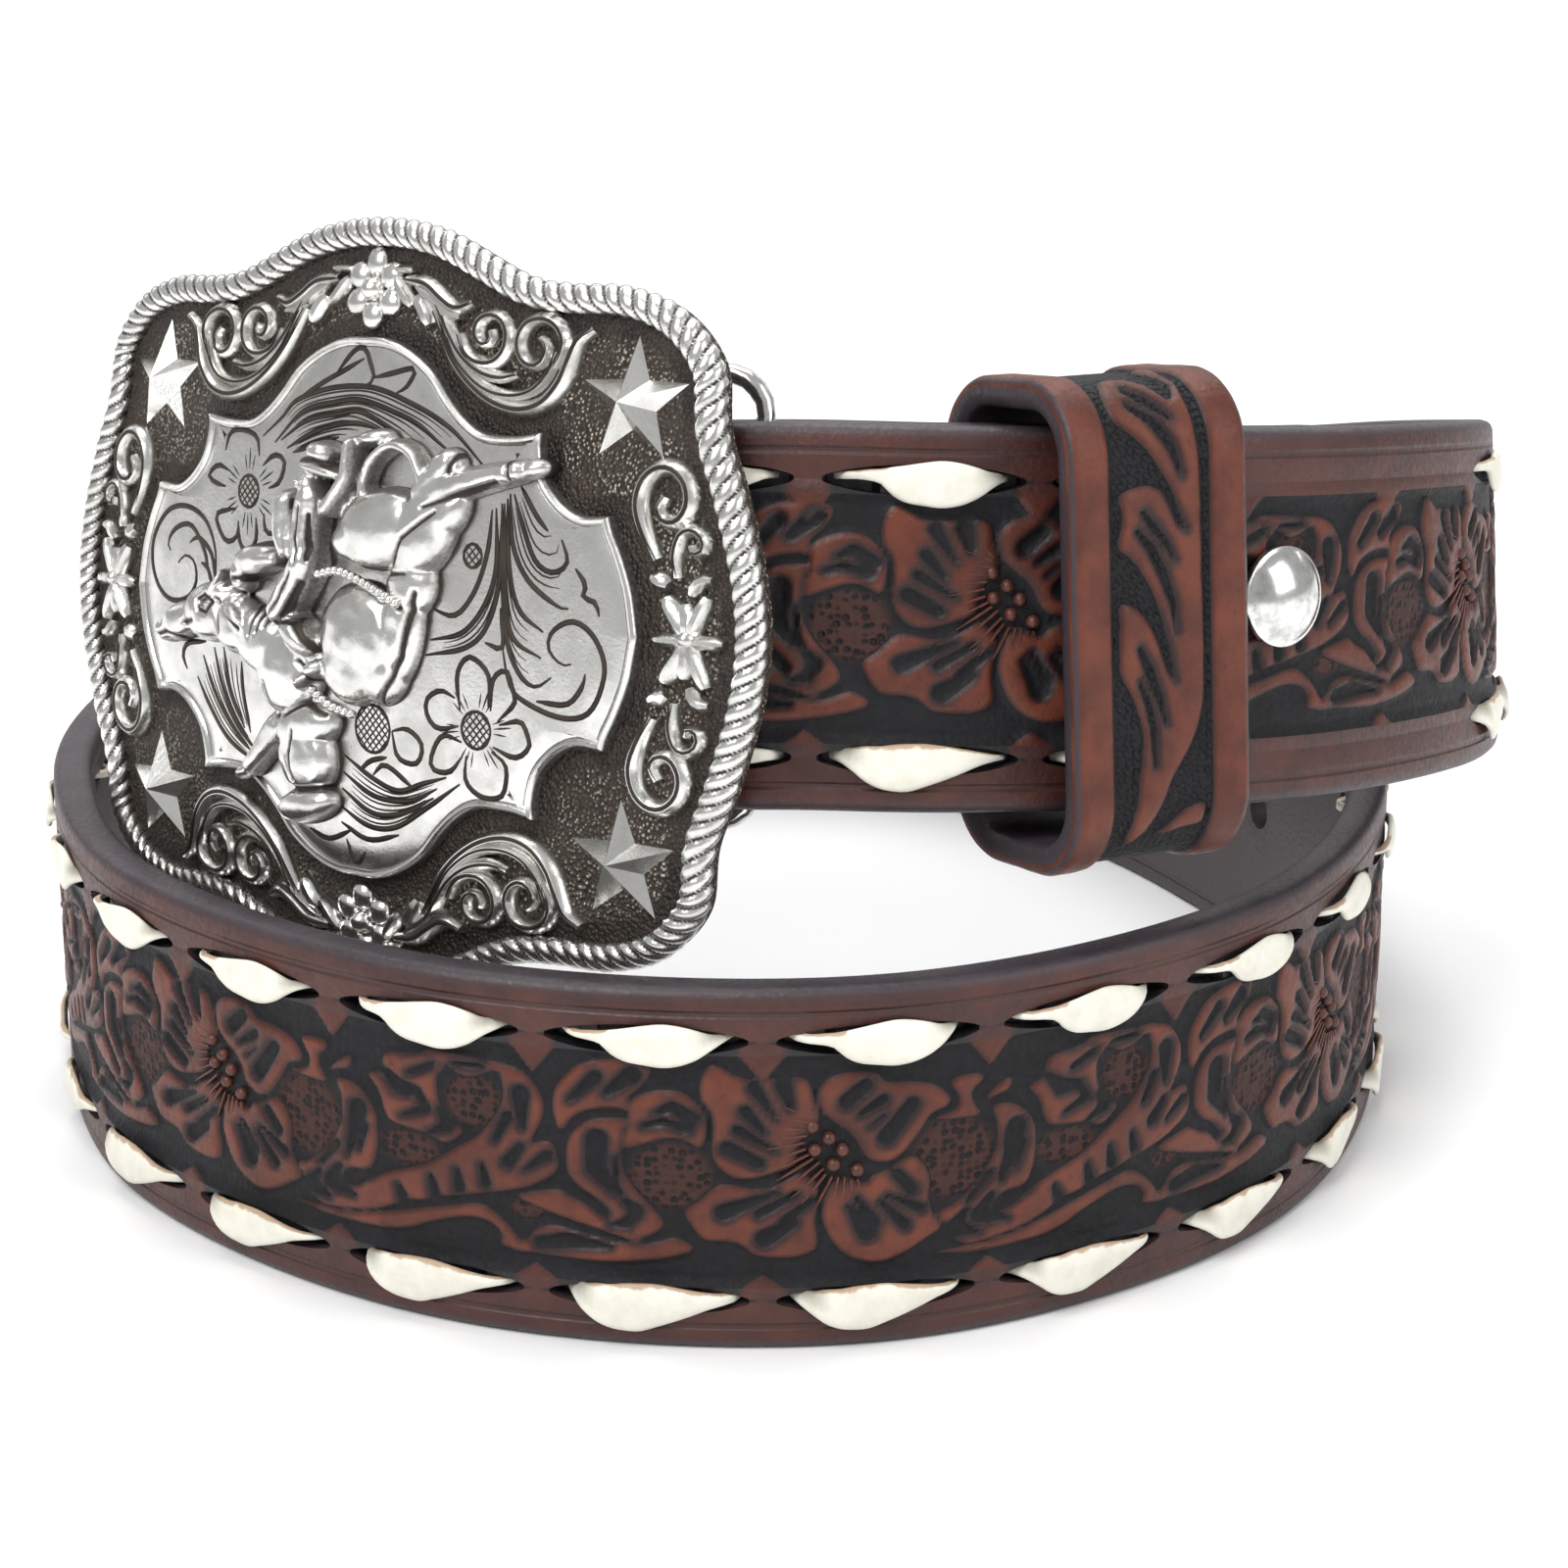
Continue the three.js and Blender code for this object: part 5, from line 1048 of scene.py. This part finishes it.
def inset(path, distance):
    """Moves a clockwise closed line inwards."""
    ahead = np.roll(path, -1, axis=0) - np.roll(path, 1, axis=0)
    ahead /= np.linalg.norm(ahead, axis=1)[:, None]
    return path + np.stack([ahead[:, 1], -ahead[:, 0]], 1) * distance


def level(path, height):
    return np.concatenate([path, np.full((len(path), 1), float(height))], 1)


def rim_line(gap):
    return evenly(curve(whole(RIM), 12, closed=True), gap, closed=True)


def make_plate(silver, ground):
    quarter = [curve(points_of(text), 6)[:-1] for text in (PLATE_TOP, PLATE_NOTCH, PLATE_SIDE)]
    quarter = np.vstack(quarter + [np.array([[36.8, 0]])])
    path = evenly(whole(quarter), .55, closed=True)
    rings = [level(path * share, 1) for share in (.15, .3, .45, .6, .75, .88)]
    rings += [level(inset(path, d), z) for d, z in ((1.1, 1), (.95, .93), (.8, 1.02), (.6, 1.34), (.35, 1.4), (.12, 1.2), (0, .85), (0, -.3))]
    rings += [level(path * share, -.4) for share in (.8, .4)]
    plate = path
    marks = np.zeros((len(rings), len(path)))
    marks[7] = .8
    marks[-4:] = .7
    bm = bmesh.new()
    swept(bm, to_buckle(rings), marks={"patina_and_shade": marks})
    piece(bm, "centre_plate", silver, ("buckle",))
    path = rim_line(1.1)
    rings = [level(path * share, 0) for share in (.3, .5, *np.linspace(.58, .955, 20))]
    rings += [level(inset(path, .6), -.9), level(inset(path, .6), -1.7), level(inset(path, 1.2), -2.2)]
    rings += [level(path * share, -2.2) for share in (.9, .6, .3)]
    rings = np.array(rings)
    rings[:22, :, 2] -= .12
    # The ground is darkest close under the plate's edge and the rope.
    off = np.minimum(-outline_distance(plate, rings[..., 0], rings[..., 1]), outline_distance(path, rings[..., 0], rings[..., 1]) - 3)
    marks = 1 - smooth_step(.3, 4, off)
    marks[22:] = .4
    bm = bmesh.new()
    swept(bm, to_buckle(rings), marks={"patina_and_shade": marks})
    piece(bm, "buckle_ground", ground, ("buckle",))


def make_rope(silver, sizes):
    radius = sizes.rope_diameter / 2 / MM
    steps = 7
    length = np.linalg.norm(np.diff(rim_line(.5), axis=0), axis=1).sum()
    lays = round(length / 1.8)
    path = inset(evenly(curve(whole(RIM), 12, closed=True), length / (lays * steps), closed=True), radius)
    count = len(path)
    ahead = np.roll(path, -1, axis=0) - np.roll(path, 1, axis=0)
    ahead /= np.linalg.norm(ahead, axis=1)[:, None]
    side = np.stack([ahead[:, 1], -ahead[:, 0]], 1)
    turn = np.linspace(0, 2 * math.pi, 24, endpoint=False)
    phase = 3 * turn[None] / 2 + math.pi * np.arange(count)[:, None] * lays / count
    crest = np.sqrt(np.abs(np.cos(phase)))
    around = radius * (.68 + .32 * crest)
    rings = np.zeros((count, len(turn), 3))
    rings[..., :2] = path[:, None] + side[:, None] * (around * np.cos(turn))[..., None]
    rings[..., 2] = .12 + around * np.sin(turn)
    bm = bmesh.new()
    swept(bm, to_buckle(rings), loop=True, marks={"patina_and_shade": 1 - smooth_step(.3, .85, crest)})
    piece(bm, "rope_rim", silver, ("buckle",), sharp=0)


def make_stars(silver):
    bm = bmesh.new()
    for sx in (-1, 1):
        for sy in (-1, 1):
            made = bmesh.ops.create_cone(bm, cap_ends=True, segments=10, radius1=STAR_RADIUS, radius2=0, depth=2.8)["verts"]
            for vert in made:
                spoke = math.degrees(math.atan2(vert.co.y, vert.co.x))
                reach = math.hypot(vert.co.x, vert.co.y)
                if reach > .1:
                    turn = round((spoke - 18) / 36)
                    share = .42 if turn % 2 else 1
                    angle = math.radians(90 + turn * 36)
                    vert.co = (STAR_RADIUS * share * math.cos(angle), STAR_RADIUS * share * math.sin(angle), vert.co.z)
            for vert in made:
                local = (vert.co.x + sx * STAR_SEAT[0], vert.co.y + sy * STAR_SEAT[1], vert.co.z + 1.1)
                vert.co = Vector(to_buckle(local)) * MM
    piece(bm, "stars", silver, ("buckle",), sharp=20)


def make_scrolls(silver):
    bm = bmesh.new()
    for sx in (-1, 1):
        for sy in (-1, 1):
            for half, text in SCROLLS:
                points = [(x * sx, y * sy) for x, y in points_of(text)]
                ribbon(bm, points, half * 1.3, 0, 1.5, sides=10, taper=.6)
                if len(points) > 4:
                    ribbon(bm, points, half * .3, 1.42, .14, sides=6, taper=.3, mark=.9)
        for half, text in SIDE_PETALS:
            ribbon(bm, [(x * sx, y) for x, y in points_of(text)], half, .1, 1.25, sides=10, taper=.4)
    for sy in (-1, 1):
        for k in range(6):
            angle = math.radians(30 + 60 * k)
            knob(bm, 2.7 * math.cos(angle), 32.7 * sy + 2.7 * math.sin(angle), 1.6, 1.45, .1, 1, 30 + 60 * k)
    for x, y, r in [(0, 32.7, 1.35), (0, -32.7, 1.35), (42.4, .2, 1), (-42.4, .2, 1)]:
        knob(bm, x, y, r, r, .2, 1.7)
    piece(bm, "scrolls", silver, ("buckle",))


def knob(bm, x, y, half_x, half_y, foot, rise, turn=0, detail=16):
    """A round form of the casting."""
    made = bmesh.ops.create_uvsphere(bm, u_segments=detail, v_segments=max(8, detail // 2), radius=1)["verts"]
    turn = math.radians(turn)
    for vert in made:
        a, b = vert.co.x * half_x, vert.co.y * half_y
        local = (x + a * math.cos(turn) - b * math.sin(turn), y + a * math.sin(turn) + b * math.cos(turn), foot + vert.co.z * rise)
        vert.co = Vector(to_buckle(local)) * MM
    return made


def make_figures(silver):
    """The bucking animal and its rider, fused from round forms by a remesh."""
    bm = bmesh.new()
    for x, y, half_x, half_y, rise, turn in FORMS:
        knob(bm, x, y, half_x, half_y, .8, rise, turn, 24)
    for text, rise in zip(RODS, ROD_RISE):
        line = evenly(curve(points_of(text), 5), .5)
        for x, y, half in line:
            knob(bm, x, y, half, half, .8, rise, 0, 12)
    obj = piece(bm, "bucking_figures", silver, ("buckle",), sharp=0)
    fuse = obj.modifiers.new("fuse", "REMESH")
    fuse.mode = "VOXEL"
    fuse.voxel_size = .00024
    soften = obj.modifiers.new("soften", "SMOOTH")
    soften.iterations = 3
    soften.factor = .5
    applied(obj)
    obj.data.shade_smooth()
    # Marks as dark: patina in the low places between the forms and in the worked grooves, and on the sides turned away
    # from the front, patina with painted shade.
    low = obj.data.attributes.new("patina_and_shade", "FLOAT", "POINT")
    co = np.empty(len(obj.data.vertices) * 3)
    normal = np.empty(len(obj.data.vertices) * 3)
    obj.data.vertices.foreach_get("co", co)
    obj.data.vertices.foreach_get("normal", normal)
    local = (co.reshape(-1, 3) / MM - BUCKLE_SEAT) @ BUCKLE_AXES.T
    groove = np.full(len(local), -3.)
    for text in FIGURE_CUTS:
        groove = np.maximum(groove, stroke_distance(points_of(text), local[:, 0], local[:, 1]))
    groove = smooth_step(-.4, .08, groove)
    height = local[:, 2] + (.004 * local[:, 0] ** 2 + .0032 * local[:, 1] ** 2) / 2
    # Flattened tops, worked grooves and the casting's uneven skin.
    rough = np.array([noise_at(Vector(v)) for v in local * .5])
    sunk = .42 * groove * smooth_step(1.2, 2.2, height) + .45 * np.maximum(0, height - 3.4) - .16 * rough
    worked = local - np.array([0, 0, 1]) * sunk[:, None]
    obj.data.vertices.foreach_set("co", ((worked @ BUCKLE_AXES + BUCKLE_SEAT) * MM).ravel())
    facing = normal.reshape(-1, 3) @ BUCKLE_AXES[2]
    low.data.foreach_set("value", np.maximum(1 - smooth_step(1.05, 1.9, height), .6 * (1 - smooth_step(.2, .75, facing)) + groove * .9))
    bm = bmesh.new()
    for text in ROPE_BEADS:
        for x, y in evenly(curve(points_of(text), 6), .85):
            knob(bm, x, y, .5, .5, 3.6, .6, 0, 10)
    # A plain small face: brow, nose and mouth set by halves and thirds.
    knob(bm, -5.15, 12.55, .2, .42, 4.3, .5, 0, 10)
    knob(bm, -5.65, 12.9, .2, .14, 4.25, .3, 0, 10)
    knob(bm, -4.65, 12.9, .2, .14, 4.25, .3, 0, 10)
    piece(bm, "figure_trim", silver, ("buckle",))


def make_engraving(silver):
    bm = bmesh.new()
    lines = [evenly(curve(points_of(text), 5), .7) for text in ENGRAVED]
    for line in lines:
        ribbon(bm, line, .3, 1, .05, sides=4, gap=.8, taper=.35, mark=1)
    for first, last in FANS:
        for a, b in zip(lines[first:last], lines[first + 1:last + 1]):
            share = np.linspace(0, 1, max(len(a), len(b)))
            a, b = (np.stack([np.interp(share, np.linspace(0, 1, len(row)), row[:, k]) for k in (0, 1)], 1) for row in (a, b))
            for part in (.33, .67):
                middle = (a * (1 - part) + b * part)[len(a) // 8:-max(1, len(a) // 8)]
                if len(middle) > 2:
                    ribbon(bm, middle, .11, 1, .05, sides=4, gap=1, taper=.3, mark=.9)
    for x, y in ((-17, 11.2), (17.3, -10.8)):
        for k in range(30):
            if k % 5 < 3:
                angle = math.radians(12 * k + (18 if x < 0 else -4))
                reach = 4.6 if k % 5 == 1 else 3.9
                ends = [(x + r * math.cos(angle), y + r * math.sin(angle)) for r in (2.3, 3, reach)]
                ribbon(bm, ends, .11, 1, .05, sides=4, gap=.8, taper=.3, mark=.9)
    for x, y, radius in HATCHED:
        for slant in (45, 135):
            angle = math.radians(slant)
            for k in np.arange(-radius + .3, radius, .62):
                half = math.sqrt(radius * radius - k * k)
                a = np.array([math.cos(angle), math.sin(angle)])
                b = np.array([-a[1], a[0]])
                ends = [np.array([x, y]) + b * k + a * half * s for s in (-1, 0, 1)]
                ribbon(bm, ends, .11, 1, .05, sides=4, gap=1, taper=.6, mark=1)
        ring = [(x + radius * math.cos(t), y + radius * math.sin(t)) for t in np.linspace(0, 2 * math.pi, 12)]
        ribbon(bm, ring, .18, 1, .05, sides=4, gap=.7, taper=.9, mark=1)
    piece(bm, "engraving", silver, ("buckle",), sharp=0)


def make_buckle_back(silver):
    """Lug for the bale and the hook, behind the plate."""
    axes = Matrix([[BUCKLE_AXES[c][r] * MM for c in range(3)] + [BUCKLE_SEAT[r] * MM] for r in range(3)] + [[0, 0, 0, 1]])
    bm = bmesh.new()
    lug = Matrix.Translation((17.2, 3.2, -5.1)) @ Matrix.Rotation(math.radians(90), 4, "X")
    profile = [(1.3, -7.4), (1.5, -7.6), (2.9, -7.6), (3.2, -7.3), (3.2, 7.3), (2.9, 7.6), (1.5, 7.6), (1.3, 7.4), (1.3, -7.4)]
    turned(bm, profile, lug)
    hook = bmesh.new()
    shank = [(0, 0), (1.9, 0), (1.6, -.9), (1.45, -2.2), (1.45, -7.1), (1.7, -7.5), (2, -7.9), (2, -8.7), (1.6, -9.1), (0, -9.2)]
    turned(hook, shank, Matrix.Translation((-27, 0, -1.4)))
    mesh = bpy.data.meshes.new("hook")
    hook.to_mesh(mesh)
    hook.free()
    bm.from_mesh(mesh)
    bpy.data.meshes.remove(mesh)
    bmesh.ops.transform(bm, matrix=axes, verts=bm.verts)
    piece(bm, "lug_and_hook", silver, ("buckle",))


def make_bale():
    corner, length, tall = 4, 25, 22.3
    path = []
    for cx, cy, start in ((length - corner, tall - corner, 0), (corner, tall - corner, 90), (corner, corner - tall, 180), (length - corner, corner - tall, 270)):
        for a in np.radians(np.linspace(start, start + 90, 9)):
            path.append((cx + corner * math.cos(a), cy + corner * math.sin(a)))
    path = evenly(np.array(path), 1.4, closed=True)
    ahead = np.roll(path, -1, axis=0) - np.roll(path, 1, axis=0)
    ahead /= np.linalg.norm(ahead, axis=1)[:, None]
    side = np.stack([ahead[:, 1], -ahead[:, 0]], 1)
    turn = np.linspace(0, 2 * math.pi, 14, endpoint=False)
    flat = path[:, None] + side[:, None] * np.cos(turn)[..., None]
    off = np.broadcast_to(np.sin(turn), flat.shape[:2])
    lean = math.radians(26.2)
    x, y = flat[..., 0], flat[..., 1]
    local = np.stack([17.2 + x * math.cos(lean) + off * math.sin(lean), 3.2 + y, -5.692 - x * math.sin(lean) + off * math.cos(lean)], 2)
    bm = bmesh.new()
    swept(bm, to_buckle(local, bow=False), loop=True)
    piece(bm, "bale_wire", steel_finish(), ("bale",), sharp=0)


# ---------------------------------------------------------------- stage


def area_light(name, place, aim, size, power, color=(1, 1, 1)):
    data = bpy.data.lights.new(name, "AREA")
    data.shape = "RECTANGLE"
    data.size, data.size_y = size
    data.energy = power
    data.color = color
    obj = bpy.data.objects.new(name, data)
    obj.location = place
    obj.rotation_euler = (Vector(aim) - Vector(place)).to_track_quat("-Z", "Y").to_euler()
    bpy.context.collection.objects.link(obj)


def make_stage(looks):
    bm = bmesh.new()
    bmesh.ops.create_grid(bm, x_segments=1, y_segments=1, size=4)
    mesh = bpy.data.meshes.new("studio_floor")
    bm.to_mesh(mesh)
    bm.free()
    floor = bpy.data.objects.new("studio_floor", mesh)
    bpy.context.collection.objects.link(floor)
    material, tree, shader = new_finish("pale_floor")
    shade = noise(tree, add(tree, "TexCoord").outputs["Object"], 3)
    color = mixed(tree, ranged(tree, shade, .3, .7), linear(looks.floor), linear((244, 244, 244)))
    tree.links.new(color, shader.inputs["Base Color"])
    shader.inputs["Roughness"].default_value = .85
    mesh.materials.append(material)
    world = bpy.data.worlds.new("studio")
    world.use_nodes = True
    world.node_tree.nodes["Background"].inputs[0].default_value = (1, 1, 1, 1)
    world.node_tree.nodes["Background"].inputs[1].default_value = .47
    bpy.context.scene.world = world
    area_light("key_softbox", (-.45, -.75, .95), (0, 0, .05), (.7, .7), 11)
    area_light("fill_softbox", (.8, -.5, .55), (0, 0, .05), (.6, .8), 3.5)
    area_light("top_softbox", (0, .25, 1.1), (0, 0, .03), (.9, .7), 8)
    area_light("backdrop_softbox", (0, 2.1, 1.4), (0, 2.6, 0), (5, 1.6), 70)
    data = bpy.data.cameras.new("photo_camera")
    data.lens = 78.05
    data.sensor_width = 36
    data.clip_start = .02
    camera = bpy.data.objects.new("photo_camera", data)
    camera.location = (.000518, -.400762, .153)
    camera.rotation_euler = (math.radians(72.76), 0, 0)
    bpy.context.collection.objects.link(camera)
    bpy.context.scene.camera = camera
    bpy.context.scene.view_settings.view_transform = "Standard"


# ---------------------------------------------------------------- add-on


def color_property(name, description, default):
    return bpy.props.FloatVectorProperty(name=name, description=description, size=3, min=0, max=255, default=default)


class BeltSizes(bpy.types.PropertyGroup):
    tooling_depth: bpy.props.FloatProperty(
        name="Tooling depth", description="How far the ground lies below the raised leather", default=.0005, subtype="DISTANCE", unit="LENGTH")
    rope_diameter: bpy.props.FloatProperty(
        name="Rope diameter", description="Thickness of the buckle's rope edge", default=.0031, subtype="DISTANCE", unit="LENGTH")


class BeltLooks(bpy.types.PropertyGroup):
    leather_light: color_property("Raised leather, light", "sRGB colour of the tooled leather where it is light", (104, 52, 36))
    leather_dark: color_property("Raised leather, dark", "sRGB colour of the tooled leather where it is dark", (76, 37, 27))
    border_light: color_property("Border, light", "sRGB colour of the strap's border where it is light", (74, 35, 26))
    border_dark: color_property("Border, dark", "sRGB colour of the strap's border where it is dark", (52, 24, 20))
    stain: color_property("Stain", "sRGB colour of the stained ground", (17, 16, 22))
    edge: color_property("Edge", "sRGB colour of the strap's burnished edge", (58, 50, 56))
    lace: color_property("Lace", "sRGB colour of the lace", (229, 227, 215))
    silver: color_property("Silver", "sRGB colour of the buckle's bright metal", (232, 231, 228))
    floor: color_property("Floor", "sRGB colour of the floor", (236, 236, 237))


class BuildOperator:
    bl_options = {"REGISTER", "UNDO"}


class BELT_OT_stage(BuildOperator, bpy.types.Operator):
    """Add the floor, the lights and the camera"""
    bl_idname = "belt.stage"
    bl_label = "Stage"

    def execute(self, context):
        make_stage(context.scene.belt_looks)
        return {"FINISHED"}


class BELT_OT_strap(BuildOperator, bpy.types.Operator):
    """Build the strap with its slots and holes, its tooling and the flowers' centres"""
    bl_idname = "belt.strap"
    bl_label = "Strap"

    def execute(self, context):
        looks, sizes = context.scene.belt_looks, context.scene.belt_sizes
        make_strap(looks)
        make_tooling(looks, sizes)
        make_flower_centres(looks)
        return {"FINISHED"}


class BELT_OT_lace(BuildOperator, bpy.types.Operator):
    """Thread the two rows of lace"""
    bl_idname = "belt.lace"
    bl_label = "Lacing"

    def execute(self, context):
        make_lace("lacing_upper", UPPER_STITCH, context.scene.belt_looks, 3)
        make_lace("lacing_lower", LOWER_STITCH, context.scene.belt_looks, 8)
        return {"FINISHED"}


class BELT_OT_keeper(BuildOperator, bpy.types.Operator):
    """Build the tooled keeper"""
    bl_idname = "belt.keeper"
    bl_label = "Keeper"

    def execute(self, context):
        make_keeper(context.scene.belt_looks, context.scene.belt_sizes)
        return {"FINISHED"}


class BELT_OT_snap(BuildOperator, bpy.types.Operator):
    """Turn the snap's cap and its ring"""
    bl_idname = "belt.snap"
    bl_label = "Snap"

    def execute(self, context):
        make_snap()
        return {"FINISHED"}


class BELT_OT_buckle(BuildOperator, bpy.types.Operator):
    """Build the buckle's plates, rope, stars, scrolls, figures and engraving"""
    bl_idname = "belt.buckle"
    bl_label = "Buckle"

    def execute(self, context):
        looks, sizes = context.scene.belt_looks, context.scene.belt_sizes
        silver = silver_finish(looks)
        make_plate(silver, silver_finish(looks, "stippled_ground", stippled=True))
        make_rope(silver, sizes)
        make_stars(silver)
        make_scrolls(silver)
        make_figures(silver)
        make_engraving(silver)
        make_buckle_back(silver)
        return {"FINISHED"}


class BELT_OT_bale(BuildOperator, bpy.types.Operator):
    """Bend the wire bale"""
    bl_idname = "belt.bale"
    bl_label = "Bale"

    def execute(self, context):
        make_bale()
        return {"FINISHED"}


BUILDERS = (BELT_OT_stage, BELT_OT_strap, BELT_OT_lace, BELT_OT_keeper, BELT_OT_snap, BELT_OT_buckle, BELT_OT_bale)


class BELT_PT_panel(bpy.types.Panel):
    bl_label = "Western tooled belt"
    bl_idname = "BELT_PT_panel"
    bl_space_type = "VIEW_3D"
    bl_region_type = "UI"
    bl_category = "Belt"

    def draw(self, context):
        for group in (context.scene.belt_sizes, context.scene.belt_looks):
            for name in group.__annotations__:
                self.layout.prop(group, name)
        for builder in BUILDERS:
            self.layout.operator(builder.bl_idname)


CLASSES = (BeltSizes, BeltLooks) + BUILDERS + (BELT_PT_panel,)


def register():
    for cls in CLASSES:
        bpy.utils.register_class(cls)
    bpy.types.Scene.belt_sizes = bpy.props.PointerProperty(type=BeltSizes)
    bpy.types.Scene.belt_looks = bpy.props.PointerProperty(type=BeltLooks)


def unregister():
    del bpy.types.Scene.belt_looks
    del bpy.types.Scene.belt_sizes
    for cls in reversed(CLASSES):
        bpy.utils.unregister_class(cls)


def main():
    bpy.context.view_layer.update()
    register()
    for builder in BUILDERS:
        group, name = builder.bl_idname.split(".")
        getattr(getattr(bpy.ops, group), name)()


if __name__ == "__main__":
    main()
